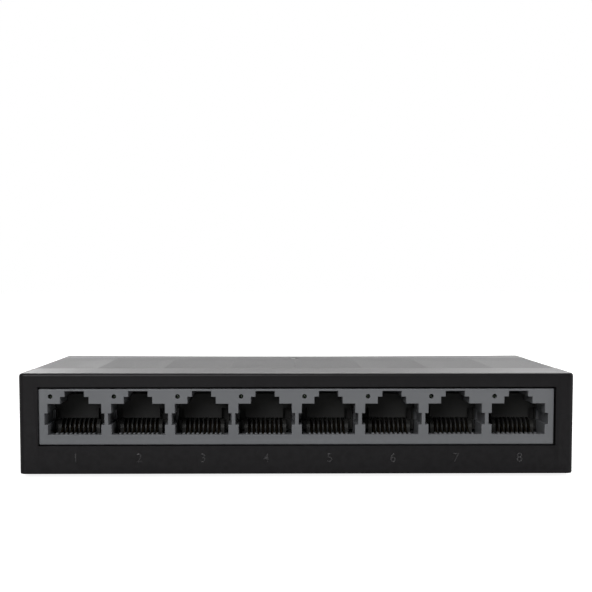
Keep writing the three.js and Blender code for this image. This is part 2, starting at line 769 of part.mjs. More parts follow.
place('circuit_board', circuitBoard(), 'boardGreen');
place('switch_chip', onBoard(chip), 'chipEpoxy');
place('heat_sink', chipHeatSink(), 'aluminium');
for (let pair = 0; pair < portCount / 2; pair += 1) {
  const middle = (portX(2 * pair) + portX(2 * pair + 1)) / 2;
  place(`transformer_${pair + 1}`, onBoard(transformer), 'chipEpoxy', middle);
}
place('capacitor_large', canCapacitor(bigCapacitor), 'aluminium');
place('capacitor_small', canCapacitor(smallCapacitor), 'aluminium');
place('inductor', onBoard(inductor), 'chipEpoxy');
place('regulator', onBoard(regulator), 'chipEpoxy');
place('crystal', crystalCan(), 'steel');

export default networkSwitch;
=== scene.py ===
# %% [markdown]
# # A desktop network switch with eight sockets
# The real object is a small black box: a moulded cover, a base plate set into it, a grey
# block of eight sockets along the front, and a circuit board between them. Its parts
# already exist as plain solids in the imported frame. This lesson gives them their looks:
# rounded moulded edges, real springs and leads, and a finish for every material.
#
# We could reshape the frame itself, but other tools test and move those solids, so we
# leave them alone. Each new piece rides on the body of the solid that it stands for.

# %% Load the frame
import math

import bmesh
import bpy
import numpy as np
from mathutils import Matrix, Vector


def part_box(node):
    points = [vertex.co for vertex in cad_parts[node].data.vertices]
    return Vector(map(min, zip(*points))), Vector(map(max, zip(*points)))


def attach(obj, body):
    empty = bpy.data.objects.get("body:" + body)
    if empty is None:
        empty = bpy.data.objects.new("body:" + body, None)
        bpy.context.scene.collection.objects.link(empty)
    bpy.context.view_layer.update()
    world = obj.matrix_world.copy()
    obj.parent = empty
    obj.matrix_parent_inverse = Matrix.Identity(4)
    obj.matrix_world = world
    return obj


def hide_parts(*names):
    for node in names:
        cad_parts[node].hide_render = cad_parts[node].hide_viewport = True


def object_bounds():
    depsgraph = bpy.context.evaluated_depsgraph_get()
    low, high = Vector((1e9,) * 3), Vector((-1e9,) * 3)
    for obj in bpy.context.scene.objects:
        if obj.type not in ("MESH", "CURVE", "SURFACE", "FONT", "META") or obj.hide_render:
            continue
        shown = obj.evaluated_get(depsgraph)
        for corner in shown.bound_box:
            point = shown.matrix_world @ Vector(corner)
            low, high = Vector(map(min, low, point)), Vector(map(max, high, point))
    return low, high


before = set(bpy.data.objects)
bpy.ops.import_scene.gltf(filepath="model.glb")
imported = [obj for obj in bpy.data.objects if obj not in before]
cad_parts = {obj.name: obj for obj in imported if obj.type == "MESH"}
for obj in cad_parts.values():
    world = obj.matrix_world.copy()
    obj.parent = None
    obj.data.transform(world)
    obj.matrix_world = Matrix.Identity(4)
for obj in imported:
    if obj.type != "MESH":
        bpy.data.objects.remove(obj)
cad_low, cad_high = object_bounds()
MM = 0.001

# %% [markdown]
# ## Camera, floor and light
# A product picture is taken from a little above, with a long lens, so that the upright
# edges stay nearly parallel. The switch sits low in the frame, and a lens shift puts it
# there without tilting the upright edges.
#
# The light could come from a bright sky alone, as in a white tent, but then the flutes of
# the lid have no contrast. So a sky that is dim at the front and brighter at the back is
# joined by six soft lamps. The low ones at the back graze the lid, and the front face
# looks out at the dim side of the room. The camera sees plain white behind the object.

# %% Camera
CAMERA_PLACE = (-0.0042, -0.3281, 0.0433)
CAMERA_DOWN = math.radians(4.75)
CAMERA_TURN = math.radians(-0.73)

camera = bpy.data.objects.new("camera", bpy.data.cameras.new("camera"))
bpy.context.scene.collection.objects.link(camera)
camera.location = CAMERA_PLACE
camera.rotation_euler = (math.pi / 2 - CAMERA_DOWN, 0, CAMERA_TURN)
camera.data.lens = 81.5
camera.data.sensor_width = 36
camera.data.shift_x = 0.0021
camera.data.shift_y = 0.162
camera.data.clip_start = 0.01
bpy.context.scene.camera = camera
bpy.context.scene.view_settings.view_transform = "Standard"
print("camera", round(camera.location.length / MM), "mm from the middle of the base")


# %% Node helpers
def add_node(tree, kind, **settings):
    """A new node in a tree, with its settings."""
    node = tree.nodes.new(kind)
    for label, value in settings.items():
        setattr(node, label, value)
    return node


def connect(tree, source, target):
    """A link from an output socket to an input socket."""
    tree.links.new(source, target)


def math_node(tree, operation, first, second=0.5):
    """A Math node. Each operand is a number or an output socket. Returns its output."""
    node = add_node(tree, "ShaderNodeMath", operation=operation)
    for socket, value in zip(node.inputs, (first, second)):
        if isinstance(value, (int, float)):
            socket.default_value = value
        else:
            connect(tree, value, socket)
    return node.outputs[0]


def map_range(tree, value, old, new):
    """A value moved from one range to another and held inside it. Returns the output."""
    node = add_node(tree, "ShaderNodeMapRange")
    connect(tree, value, node.inputs["Value"])
    for label, number in zip(("From Min", "From Max", "To Min", "To Max"), (*old, *new)):
        node.inputs[label].default_value = number
    return node.outputs["Result"]


# %% Sky and floor
SKY_FRONT = 0.055
SKY_BACK = 0.50
SKY_SIDES = 0.5
SKY_RIGHT = 0.1
FLOOR_HALF = 4.0
FLOOR_GLOW = 0.9
FLOOR_GREY = 0.42


def make_sky():
    """Dim at the front, bright at the back and brighter to its sides; white for the camera."""
    world = bpy.data.worlds.new("studio")
    bpy.context.scene.world = world
    world.use_nodes = True
    tree = world.node_tree
    tree.nodes.clear()
    direction = add_node(tree, "ShaderNodeTexCoord").outputs["Generated"]
    parts = add_node(tree, "ShaderNodeSeparateXYZ")
    connect(tree, direction, parts.inputs[0])
    behind = map_range(tree, parts.outputs["Y"], (-0.1, 0.7), (0.0, 1.0))
    sideways = math_node(tree, "ABSOLUTE", parts.outputs["X"])
    sides = map_range(tree, sideways, (0.0, 0.7), (0.0, SKY_SIDES))
    right = map_range(tree, parts.outputs["X"], (-0.7, 0.7), (0.0, SKY_RIGHT))
    level = math_node(tree, "ADD", math_node(tree, "ADD", sides, right), SKY_BACK - SKY_FRONT)
    strength = math_node(tree, "ADD", math_node(tree, "MULTIPLY", behind, level), SKY_FRONT)
    light = add_node(tree, "ShaderNodeBackground")
    connect(tree, strength, light.inputs["Strength"])
    light.inputs["Color"].default_value = (1, 1, 1, 1)
    seen = add_node(tree, "ShaderNodeBackground")
    seen.inputs["Color"].default_value = (1, 1, 1, 1)
    mix = add_node(tree, "ShaderNodeMixShader")
    path = add_node(tree, "ShaderNodeLightPath")
    connect(tree, path.outputs["Is Camera Ray"], mix.inputs[0])
    connect(tree, light.outputs[0], mix.inputs[1])
    connect(tree, seen.outputs[0], mix.inputs[2])
    output = add_node(tree, "ShaderNodeOutputWorld")
    connect(tree, mix.outputs[0], output.inputs["Surface"])


def make_lamp(name, place, wide, tall, power):
    """A soft lamp, wide and tall in metres, that points at the middle of the object."""
    light = bpy.data.lights.new(name, "AREA")
    light.shape = "RECTANGLE"
    light.size = wide
    light.size_y = tall
    light.energy = power
    lamp = bpy.data.objects.new(name, light)
    lamp.location = place
    aim = (cad_low + cad_high) / 2 - lamp.location
    lamp.rotation_euler = aim.to_track_quat("-Z", "Y").to_euler()
    bpy.context.scene.collection.objects.link(lamp)


def make_floor():
    """A wide pale floor. To the camera it glows like a light table, so that it stays white
    with a soft shadow; to the object it is a mid grey, which keeps the front face dark. From
    below it is clear, so that the underside can be looked at."""
    half = FLOOR_HALF
    mesh = bpy.data.meshes.new("floor")
    points = [(-half, -half, 0), (half, -half, 0), (half, half, 0), (-half, half, 0)]
    mesh.from_pydata(points, [], [(0, 1, 2, 3)])
    floor = bpy.data.objects.new("floor", mesh)
    bpy.context.scene.collection.objects.link(floor)
    material = bpy.data.materials.new("pale_floor")
    material.use_nodes = True
    tree = material.node_tree
    tree.nodes.clear()
    table = add_node(tree, "ShaderNodeEmission")
    table.inputs["Strength"].default_value = FLOOR_GLOW
    paper = add_node(tree, "ShaderNodeBsdfDiffuse")
    paper.inputs["Color"].default_value = (FLOOR_GREY, FLOOR_GREY, FLOOR_GREY, 1)
    seen = add_node(tree, "ShaderNodeAddShader")
    connect(tree, table.outputs[0], seen.inputs[0])
    connect(tree, paper.outputs[0], seen.inputs[1])
    path = add_node(tree, "ShaderNodeLightPath")
    mix = add_node(tree, "ShaderNodeMixShader")
    connect(tree, path.outputs["Is Camera Ray"], mix.inputs[0])
    connect(tree, paper.outputs[0], mix.inputs[1])
    connect(tree, seen.outputs[0], mix.inputs[2])
    below = add_node(tree, "ShaderNodeMixShader")
    connect(tree, add_node(tree, "ShaderNodeNewGeometry").outputs["Backfacing"], below.inputs[0])
    connect(tree, mix.outputs[0], below.inputs[1])
    connect(tree, add_node(tree, "ShaderNodeBsdfTransparent").outputs[0], below.inputs[2])
    output = add_node(tree, "ShaderNodeOutputMaterial")
    connect(tree, below.outputs[0], output.inputs["Surface"])
    mesh.materials.append(material)


make_sky()
make_floor()
make_lamp("top_softbox", (0.2, 0.55, 1.15), 0.7, 0.7, 10.0)
make_lamp("back_strip", (0.1, 0.95, 0.62), 1.0, 0.16, 3.6)
make_lamp("left_back_lamp", (-0.36, 1.0, 0.44), 0.22, 0.22, 1.7)
make_lamp("right_back_lamp", (0.30, 1.0, 0.44), 0.22, 0.22, 0.5)
make_lamp("right_fill", (1.1, -0.35, 0.35), 0.4, 0.4, 3.0)
make_lamp("front_softbox", (-0.3, -1.1, 0.6), 0.6, 0.6, 8.8)

# %% [markdown]
# ## Effects that several finishes share
# Moulded plastic is not one flat colour. The steel mould is spark-eroded, so the surface
# has a very fine grain; corners are rubbed a little paler, and on the cover that paler edge is
# partly a painted highlight; a film of dust lies on faces that look up; and large faces vary
# slightly from flow in the mould. Each effect is one node group, built once, with its sizes as
# inputs, and each finish sets its own values.


# %% Node groups
def new_group(name, inputs, outputs):
    """An empty shader node group with named float or vector inputs and outputs."""
    group = bpy.data.node_groups.new(name, "ShaderNodeTree")
    for label, kind, value in inputs:
        socket = group.interface.new_socket(label, in_out="INPUT", socket_type=kind)
        if value is not None:
            socket.default_value = value
    for label, kind in outputs:
        group.interface.new_socket(label, in_out="OUTPUT", socket_type=kind)
    start = add_node(group, "NodeGroupInput")
    end = add_node(group, "NodeGroupOutput")
    return group, start, end


def noise(tree, vector, scale, detail=2.0):
    """Soft noise between 0 and 1. Scale is a number or a socket, in waves a metre."""
    node = add_node(tree, "ShaderNodeTexNoise")
    node.inputs["Detail"].default_value = detail
    connect(tree, vector, node.inputs["Vector"])
    if isinstance(scale, (int, float)):
        node.inputs["Scale"].default_value = scale
    else:
        connect(tree, scale, node.inputs["Scale"])
    return node.outputs["Fac"]


def make_grain_group():
    """Spark-eroded grain: fine noise plus small pits. Height for a bump, and a speckle mask."""
    group, start, end = new_group(
        "mould_grain",
        [("Vector", "NodeSocketVector", None), ("Scale", "NodeSocketFloat", 4000.0)],
        [("Height", "NodeSocketFloat"), ("Speckle", "NodeSocketFloat")],
    )
    fine = noise(group, start.outputs["Vector"], start.outputs["Scale"], 3.0)
    pits = add_node(group, "ShaderNodeTexVoronoi")
    connect(group, start.outputs["Vector"], pits.inputs["Vector"])
    half = math_node(group, "MULTIPLY", start.outputs["Scale"], 0.6)
    connect(group, half, pits.inputs["Scale"])
    dents = map_range(group, pits.outputs["Distance"], (0.0, 0.5), (0.0, 1.0))
    height = math_node(group, "ADD", fine, math_node(group, "MULTIPLY", dents, 0.5))
    connect(group, height, end.inputs["Height"])
    speckle = map_range(group, fine, (0.35, 0.65), (0.0, 1.0))
    connect(group, speckle, end.inputs["Speckle"])
    return group


def make_rub_and_highlight_group():
    """Paler edges where the surface is sharply convex, broken up by noise: rubbed wear, and on
    the cover partly a painted highlight.
    """
    group, start, end = new_group(
        "edge_rub_and_highlight",
        [("Vector", "NodeSocketVector", None), ("Amount", "NodeSocketFloat", 0.5)],
        [("Mask", "NodeSocketFloat")],
    )
    geometry = add_node(group, "ShaderNodeNewGeometry")
    edge = map_range(group, geometry.outputs["Pointiness"], (0.51, 0.58), (0.0, 1.0))
    patches = noise(group, start.outputs["Vector"], 900.0, 4.0)
    broken = map_range(group, patches, (0.35, 0.6), (0.35, 1.0))
    mask = math_node(group, "MULTIPLY", edge, broken)
    connect(group, math_node(group, "MULTIPLY", mask, start.outputs["Amount"]), end.inputs["Mask"])
    return group


def make_dust_group():
    """Settled dust: on faces that look up, thicker in soft patches and small specks."""
    group, start, end = new_group(
        "settled_dust",
        [("Vector", "NodeSocketVector", None), ("Amount", "NodeSocketFloat", 0.5)],
        [("Mask", "NodeSocketFloat")],
    )
    normal = add_node(group, "ShaderNodeNewGeometry").outputs["Normal"]
    parts = add_node(group, "ShaderNodeSeparateXYZ")
    connect(group, normal, parts.inputs[0])
    up = map_range(group, parts.outputs["Z"], (0.3, 0.95), (0.0, 1.0))
    patches = map_range(group, noise(group, start.outputs["Vector"], 60.0, 3.0),
                        (0.35, 0.7), (0.3, 1.0))
    specks = map_range(group, noise(group, start.outputs["Vector"], 2600.0, 1.0),
                       (0.66, 0.74), (0.0, 1.0))
    both = math_node(group, "ADD", patches, specks)
    mask = math_node(group, "MULTIPLY", up, both)
    connect(group, math_node(group, "MULTIPLY", mask, start.outputs["Amount"]), end.inputs["Mask"])
    return group


def make_flow_group():
    """Slow changes of tone over a large moulding, from 0 to 1."""
    group, start, end = new_group(
        "mould_flow",
        [("Vector", "NodeSocketVector", None), ("Scale", "NodeSocketFloat", 25.0)],
        [("Tone", "NodeSocketFloat")],
    )
    soft = noise(group, start.outputs["Vector"], start.outputs["Scale"], 2.0)
    connect(group, map_range(group, soft, (0.3, 0.7), (0.0, 1.0)), end.inputs["Tone"])
    return group


def make_drawn_group():
    """Drawn or plated metal: long fine scratches along one axis, as a height and a mask."""
    group, start, end = new_group(
        "drawn_metal",
        [("Vector", "NodeSocketVector", None)],
        [("Height", "NodeSocketFloat"), ("Mask", "NodeSocketFloat")],
    )
    stretch = add_node(group, "ShaderNodeMapping")
    stretch.inputs["Scale"].default_value = (1.0, 0.08, 1.0)
    connect(group, start.outputs["Vector"], stretch.inputs["Vector"])
    lines = noise(group, stretch.outputs["Vector"], 9000.0, 2.0)
    connect(group, lines, end.inputs["Height"])
    connect(group, map_range(group, lines, (0.3, 0.7), (0.0, 1.0)), end.inputs["Mask"])
    return group


GROUPS = {
    "grain": make_grain_group(),
    "rub_and_highlight": make_rub_and_highlight_group(),
    "dust": make_dust_group(),
    "flow": make_flow_group(),
    "drawn": make_drawn_group(),
}
print("node groups:", ", ".join(group.name for group in GROUPS.values()))

# %% [markdown]
# ## Finishes
# Every finish starts from one recipe: a tone that drifts slowly between two colours, a
# fine grain that shows in the bump and the roughness, paler rubbed edges, and dust. On the
# cover the paler edges are partly a painted highlight. The recipe could be copied for each
# material, but a function with named values keeps them comparable. Metals use drawn
# scratches in place of the grain.


# %% The shared recipe
DUSTY = (0.32, 0.31, 0.3)


def blend_colours(tree, mask, first, second):
    """Two colours mixed by a mask. Each colour is a tuple or a socket. Returns the output."""
    node = add_node(tree, "ShaderNodeMix", data_type="RGBA")
    connect(tree, mask, node.inputs["Factor"])
    for label, colour in (("A", first), ("B", second)):
        socket = [s for s in node.inputs if s.name == label and s.type == "RGBA"][0]
        if isinstance(colour, tuple):
            socket.default_value = (*colour, 1)
        else:
            connect(tree, colour, socket)
    return [s for s in node.outputs if s.type == "RGBA"][0]


def use_group(tree, label, vector, **values):
    """A shared node group placed in a material, with its own values."""
    node = add_node(tree, "ShaderNodeGroup", node_tree=GROUPS[label])
    connect(tree, vector, node.inputs["Vector"])
    for name, value in values.items():
        node.inputs[name].default_value = value
    return node


def new_material(name):
    """A material, its tree, its shader and the object coordinates that place patterns."""
    material = bpy.data.materials.new(name)
    material.use_nodes = True
    tree = material.node_tree
    place = add_node(tree, "ShaderNodeTexCoord").outputs["Object"]
    return material, tree, tree.nodes["Principled BSDF"], place


def add_bump(tree, shader, height, distance):
    """A Bump node from a height output to the shader's normal. Distance is in millimetres."""
    raised = add_node(tree, "ShaderNodeBump")
    raised.inputs["Distance"].default_value = distance * MM
    connect(tree, height, raised.inputs["Height"])
    connect(tree, raised.outputs["Normal"], shader.inputs["Normal"])


def moulded(name, dark, light, rough, grain=4000.0, bump=0.02, rub_and_highlight=0.3, dust=0.1,
            rubbed_and_highlight=(0.2, 0.2, 0.2), flow=25.0, gloss=0.5):
    """A moulded finish. Colours are linear, rough is a range, bump is in millimetres, and
    gloss is the shader's specular level. The edge colour is rubbed wear, and on the cover
    partly a painted highlight."""
    material, tree, shader, place = new_material(name)
    texture = use_group(tree, "grain", place, Scale=grain)
    tone = use_group(tree, "flow", place, Scale=flow)
    rub_and_highlight_mask = use_group(tree, "rub_and_highlight", place, Amount=rub_and_highlight)
    settled = use_group(tree, "dust", place, Amount=dust)
    base = blend_colours(tree, tone.outputs["Tone"], dark, light)
    # Paler edges: rubbed wear, and on the cover partly a painted highlight.
    edged = blend_colours(tree, rub_and_highlight_mask.outputs["Mask"], base, rubbed_and_highlight)
    dusted = blend_colours(tree, settled.outputs["Mask"], edged, DUSTY)
    connect(tree, dusted, shader.inputs["Base Color"])
    grainy = map_range(tree, texture.outputs["Speckle"], (0.0, 1.0), rough)
    duller = math_node(tree, "ADD", grainy,
                       math_node(tree, "MULTIPLY", settled.outputs["Mask"], 0.4))
    connect(tree, duller, shader.inputs["Roughness"])
    shader.inputs["Specular IOR Level"].default_value = gloss
    add_bump(tree, shader, texture.outputs["Height"], bump)
    return material


def metal(name, dark, light, rough, bump=0.01, turn=(0, 0, 0)):
    """Plated or drawn metal with fine scratches along Y, or along another way after a turn."""
    material, tree, shader, place = new_material(name)
    turned_place = add_node(tree, "ShaderNodeMapping")
    turned_place.inputs["Rotation"].default_value = turn
    connect(tree, place, turned_place.inputs["Vector"])
    scratches = use_group(tree, "drawn", turned_place.outputs["Vector"])
    tone = use_group(tree, "flow", place, Scale=300.0)
    both = math_node(tree, "MULTIPLY", tone.outputs["Tone"], scratches.outputs["Mask"])
    connect(tree, blend_colours(tree, both, dark, light), shader.inputs["Base Color"])
    connect(tree, map_range(tree, scratches.outputs["Mask"], (0.0, 1.0), rough),
            shader.inputs["Roughness"])
    shader.inputs["Metallic"].default_value = 1.0
    add_bump(tree, shader, scratches.outputs["Height"], bump)
    return material


# %% Plastics, rubber and metals
# The cover's paler edge colour is partly a painted highlight on its rounded edges.
CASE = moulded("case_plastic", (0.0088, 0.0080, 0.0090), (0.0100, 0.0092, 0.0102),
               rough=(0.38, 0.46), grain=5200.0, bump=0.010, rub_and_highlight=0.04, dust=0.002,
               rubbed_and_highlight=(0.14, 0.14, 0.145), gloss=0.2)
# The figures are the cover's own black plastic, painted paler as a painted highlight on their
# raised strokes.
FIGURE_PAINTED_HIGHLIGHT = moulded("polished_figure_painted_highlight", (0.034, 0.033, 0.035), (0.042, 0.041, 0.043),
                 rough=(0.22, 0.3), grain=5200.0, bump=0.004, rub_and_highlight=0.35, dust=0.02,
                 rubbed_and_highlight=(0.05, 0.05, 0.052), gloss=0.6)
SOCKET = moulded("socket_plastic", (0.150, 0.156, 0.166), (0.166, 0.171, 0.181),
                 rough=(0.42, 0.56), grain=7000.0, bump=0.006, rub_and_highlight=0.15, dust=0.02,
                 rubbed_and_highlight=(0.27, 0.28, 0.29))
INSERT = moulded("insert_plastic", (0.018, 0.018, 0.018), (0.024, 0.024, 0.023),
                 rough=(0.45, 0.6), grain=6000.0, bump=0.006, rub_and_highlight=0.08, dust=0.005,
                 rubbed_and_highlight=(0.03, 0.027, 0.023), gloss=0.25)
RUBBER = moulded("foot_rubber", (0.016, 0.016, 0.017), (0.028, 0.028, 0.029),
                 rough=(0.75, 0.95), grain=3000.0, bump=0.03, rub_and_highlight=0.4, dust=0.2,
                 rubbed_and_highlight=(0.06, 0.06, 0.06), flow=180.0)
EPOXY = moulded("chip_epoxy", (0.012, 0.012, 0.012), (0.02, 0.02, 0.021),
                rough=(0.5, 0.7), grain=8000.0, bump=0.008, rub_and_highlight=0.3, dust=0.1, flow=120.0)
FERRITE = moulded("ferrite", (0.035, 0.034, 0.034), (0.06, 0.058, 0.056),
                  rough=(0.6, 0.8), grain=5000.0, bump=0.02, rub_and_highlight=0.5, dust=0.1, flow=150.0)
SLEEVE = moulded("capacitor_sleeve", (0.012, 0.013, 0.02), (0.02, 0.021, 0.03),
                 rough=(0.28, 0.4), grain=1500.0, bump=0.01, rub_and_highlight=0.3, dust=0.1, flow=90.0)
CERAMIC = moulded("ceramic_body", (0.28, 0.2, 0.12), (0.36, 0.27, 0.17),
                  rough=(0.4, 0.6), grain=9000.0, bump=0.006, rub_and_highlight=0.2, dust=0.05, flow=400.0)
WHITE = moulded("diode_package", (0.62, 0.62, 0.56), (0.7, 0.7, 0.64),
                rough=(0.25, 0.4), grain=6000.0, bump=0.004, rub_and_highlight=0.1, dust=0.05, flow=400.0)
STEEL = metal("screw_steel", (0.46, 0.46, 0.47), (0.6, 0.6, 0.62), (0.26, 0.42))
GOLD = metal("contact_gold", (0.12, 0.085, 0.045), (0.24, 0.17, 0.09), (0.3, 0.45), bump=0.004)
TIN = metal("tinned_lead", (0.6, 0.6, 0.6), (0.75, 0.75, 0.74), (0.22, 0.38), bump=0.006)
NICKEL = metal("nickel_plate", (0.58, 0.57, 0.54), (0.74, 0.73, 0.7), (0.14, 0.3), bump=0.005)
ALUMINIUM = metal("heat_sink_metal", (0.36, 0.37, 0.39), (0.5, 0.51, 0.53), (0.3, 0.5), bump=0.02)
CAN = metal("can_metal", (0.52, 0.53, 0.54), (0.7, 0.71, 0.72), (0.2, 0.35),
            turn=(0, 0, math.pi / 2))


# %% Clear plastic
def clear_plastic():
    """Clear acrylic: mostly see-through, faintly green, with small ripples from the mould."""
    material, tree, shader, place = new_material("clear_plastic")
    texture = use_group(tree, "grain", place, Scale=2500.0)
    tone = use_group(tree, "flow", place, Scale=400.0)
    colour = blend_colours(tree, tone.outputs["Tone"], (0.10, 0.14, 0.09), (0.2, 0.25, 0.17))
    connect(tree, colour, shader.inputs["Base Color"])
    connect(tree, map_range(tree, texture.outputs["Speckle"], (0.0, 1.0), (0.08, 0.2)),
            shader.inputs["Roughness"])
    shader.inputs["Transmission Weight"].default_value = 0.6
    shader.inputs["IOR"].default_value = 1.49
    add_bump(tree, shader, texture.outputs["Height"], 0.004)
    return material


CLEAR = clear_plastic()


# %% Circuit board
def board_finish():
    """Green solder mask over copper. Tracks are bands of a stepped noise, paler green, and
    the mask stands a little higher over them. The cut edge of the laminate shows tan."""
    material, tree, shader, place = new_material("board_green")
    cells = add_node(tree, "ShaderNodeTexVoronoi", distance="CHEBYCHEV", feature="F1")
    cells.inputs["Scale"].default_value = 260.0
    connect(tree, place, cells.inputs["Vector"])
    rings = math_node(tree, "FRACT", math_node(tree, "MULTIPLY", cells.outputs["Distance"], 4.0))
    tracks = map_range(tree, rings, (0.45, 0.5), (0.0, 1.0))
    tone = use_group(tree, "flow", place, Scale=60.0)
    mask_colour = blend_colours(tree, tone.outputs["Tone"], (0.010, 0.060, 0.026),
                                (0.016, 0.085, 0.036))
    tracked = blend_colours(tree, tracks, mask_colour, (0.03, 0.16, 0.06))
    normal = add_node(tree, "ShaderNodeNewGeometry").outputs["Normal"]
    parts = add_node(tree, "ShaderNodeSeparateXYZ")
    connect(tree, normal, parts.inputs[0])
    flat = map_range(tree, math_node(tree, "ABSOLUTE", parts.outputs["Z"]),
                     (0.4, 0.6), (0.0, 1.0))
    edge = blend_colours(tree, flat, (0.26, 0.20, 0.09), tracked)
    settled = use_group(tree, "dust", place, Amount=0.06)
    connect(tree, blend_colours(tree, settled.outputs["Mask"], edge, (0.3, 0.3, 0.28)),
            shader.inputs["Base Color"])
    connect(tree, map_range(tree, tracks, (0.0, 1.0), (0.42, 0.3)), shader.inputs["Roughness"])
    add_bump(tree, shader, tracks, 0.03)
    return material


BOARD = board_finish()
print("materials:", len(bpy.data.materials))

# %% [markdown]
# ## Surfaces as grids of points
# A new piece is a surface: a grid of points worked out by a formula, with a face between
# every four neighbours. A profile of radius and height turned round an axis gives screws
# and feet; a section carried along a path gives springs and leads; rounded outlines
# stacked with a changing inset give moulded blocks. Blender's own cylinders and cubes
# would be quicker, but they have no rounded rims.


# %% Grids
def grid_faces(rows, columns, closed=True):
    """Faces between neighbours of a grid of points. A closed grid joins its last column
    to its first."""
    row, column = np.meshgrid(np.arange(rows - 1), np.arange(columns if closed else columns - 1),
                              indexing="ij")
    after = (column + 1) % columns
    here = row * columns
    faces = np.stack([here + column, here + after, here + columns + after,
                      here + columns + column], axis=-1)
    return faces.reshape(-1, 4).tolist()


def tube_skin(points):
    """A grid of rings as a closed skin: faces round every ring, and a cap on each end."""
    rows, columns, _ = points.shape
    faces = grid_faces(rows, columns)
    first = list(range(columns))
    last = list(range((rows - 1) * columns, rows * columns))
    return points.reshape(-1, 3), faces + [first[::-1], last]


def joined(skins):
    """Several skins as one, with the numbers of their points carried on."""
    points, faces, count = [], [], 0
    for some_points, some_faces in skins:
        points.append(some_points)
        faces += [[count + corner for corner in face] for face in some_faces]
        count += len(some_points)
    return np.concatenate(points), faces


def moved(skin, offset):
    """A skin moved by an offset."""
    points, faces = skin
    return points + np.asarray(offset), faces


def swung(skin, order):
    """A skin whose axes change places, so that what stood along Z lies along another."""
    points, faces = skin
    return points[:, order], faces


ALONG_Y = [0, 2, 1]
ALONG_X = [2, 1, 0]


def turned(profile, sides=40):
    """A profile of (radius, height) turned round Z: x = r cos a, y = r sin a, z = h."""
    radius, height = np.array(profile, float).T
    angle = np.linspace(0, 2 * np.pi, sides, endpoint=False)
    x = np.outer(radius, np.cos(angle))
    y = np.outer(radius, np.sin(angle))
    z = np.repeat(height[:, None], sides, axis=1)
    return tube_skin(np.stack([x, y, z], axis=-1))


def block(low, high, edge, corner=None, steps=3):
    """A box with rounded edges. Each ring is a rounded rectangle: four corner centres plus
    (corner - inset) times (cos a, sin a). The inset follows edge (1 - cos t) as the height
    follows edge (1 - sin t), at the bottom and again at the top."""
    low = np.asarray(low, float)
    high = np.asarray(high, float)
    corner = max(edge, corner or 0)
    turn = np.linspace(0, np.pi / 2, steps + 1)
    inset = edge * (1 - np.cos(turn))
    rise = edge * (1 - np.sin(turn))
    insets = np.concatenate([inset[::-1], inset])[:, None]
    levels = np.concatenate([low[2] + rise[::-1], high[2] - rise])[:, None]
    quarter = np.repeat(np.arange(4), steps + 1)
    angle = quarter * np.pi / 2 + np.tile(turn, 4)
    side_x = np.array([1, -1, -1, 1])[quarter]
    side_y = np.array([1, 1, -1, -1])[quarter]
    middle = (low + high) / 2
    half = (high - low) / 2
    x = middle[0] + side_x * (half[0] - corner) + (corner - insets) * np.cos(angle)
    y = middle[1] + side_y * (half[1] - corner) + (corner - insets) * np.sin(angle)
    return tube_skin(np.stack([x, y, levels + 0 * x], axis=-1))


def carried(section, path, across, swell=None):
    """A closed section of (a, b) carried along a path that lies in one plane. A point is
    path + a * across + b * out, and out is square to the path and to across. Swell, if any,
    scales the section at each point of the path."""
    path = np.asarray(path, float)
    section = np.asarray(section, float)
    across = np.asarray(across, float)
    along = np.gradient(path, axis=0)
    along /= np.linalg.norm(along, axis=1)[:, None]
    out = np.cross(across, along)
    scale = np.ones(len(path)) if swell is None else np.asarray(swell, float)
    a = scale[:, None, None] * section[None, :, :1] * across
    b = scale[:, None, None] * section[None, :, 1:] * out[:, None, :]
    return tube_skin(path[:, None, :] + a + b)


def oval_section(half_a, half_b, sides=12, power=2.0):
    """A closed section: a circle or oval at power 2, and nearer a rounded box above it."""
    angle = np.linspace(0, 2 * np.pi, sides, endpoint=False)
    bend = 2 / power
    a = half_a * np.sign(np.cos(angle)) * np.abs(np.cos(angle)) ** bend
    b = half_b * np.sign(np.sin(angle)) * np.abs(np.sin(angle)) ** bend
    return np.stack([a, b], axis=-1)


# %% Putting a skin into the scene
def weld(mesh):
    """Merges points that lie together, and turns the faces outwards."""
    shape = bmesh.new()
    shape.from_mesh(mesh)
    bmesh.ops.remove_doubles(shape, verts=shape.verts, dist=1e-7)
    bmesh.ops.recalc_face_normals(shape, faces=shape.faces)
    shape.to_mesh(mesh)
    shape.free()


def points_of(mesh):
    """The points of a mesh, one in each row."""
    points = np.empty(len(mesh.vertices) * 3)
    mesh.vertices.foreach_get("co", points)
    return points.reshape(-1, 3)


def make_piece(name, skin, material, replaces=(), body="root", sharp=35.0):
    """A mesh object from a skin: welded, faces outwards, smooth except over sharp edges. It
    rides on a body, and may stand for nodes of the frame."""
    points, faces = skin
    mesh = bpy.data.meshes.new(name)
    mesh.from_pydata(points.tolist(), [], faces)
    weld(mesh)
    return dress(name, mesh, material, replaces, body, sharp)


def dress(name, mesh, material, replaces, body, sharp):
    """An object for a finished mesh, with its material, its body and what it stands for."""
    mesh.name = name
    mesh.materials.clear()
    mesh.materials.append(material)
    mesh.shade_smooth()
    mesh.set_sharp_from_angle(angle=math.radians(sharp))
    piece = bpy.data.objects.new(name, mesh)
    bpy.context.scene.collection.objects.link(piece)
    even = piece.modifiers.new("even_shading", "WEIGHTED_NORMAL")
    even.keep_sharp = True
    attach(piece, body)
    if replaces:
        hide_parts(*replaces)
    return piece


def corners(node):
    """Lowest and highest corner of a node of the frame, as arrays."""
    low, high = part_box(node)
    return np.array(low), np.array(high)


def refinish(material, *nodes):
    """Gives nodes of the frame a better material and leaves their shape alone."""
    for node in nodes:
        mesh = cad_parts[node].data
        mesh.materials.clear()
        mesh.materials.append(material)


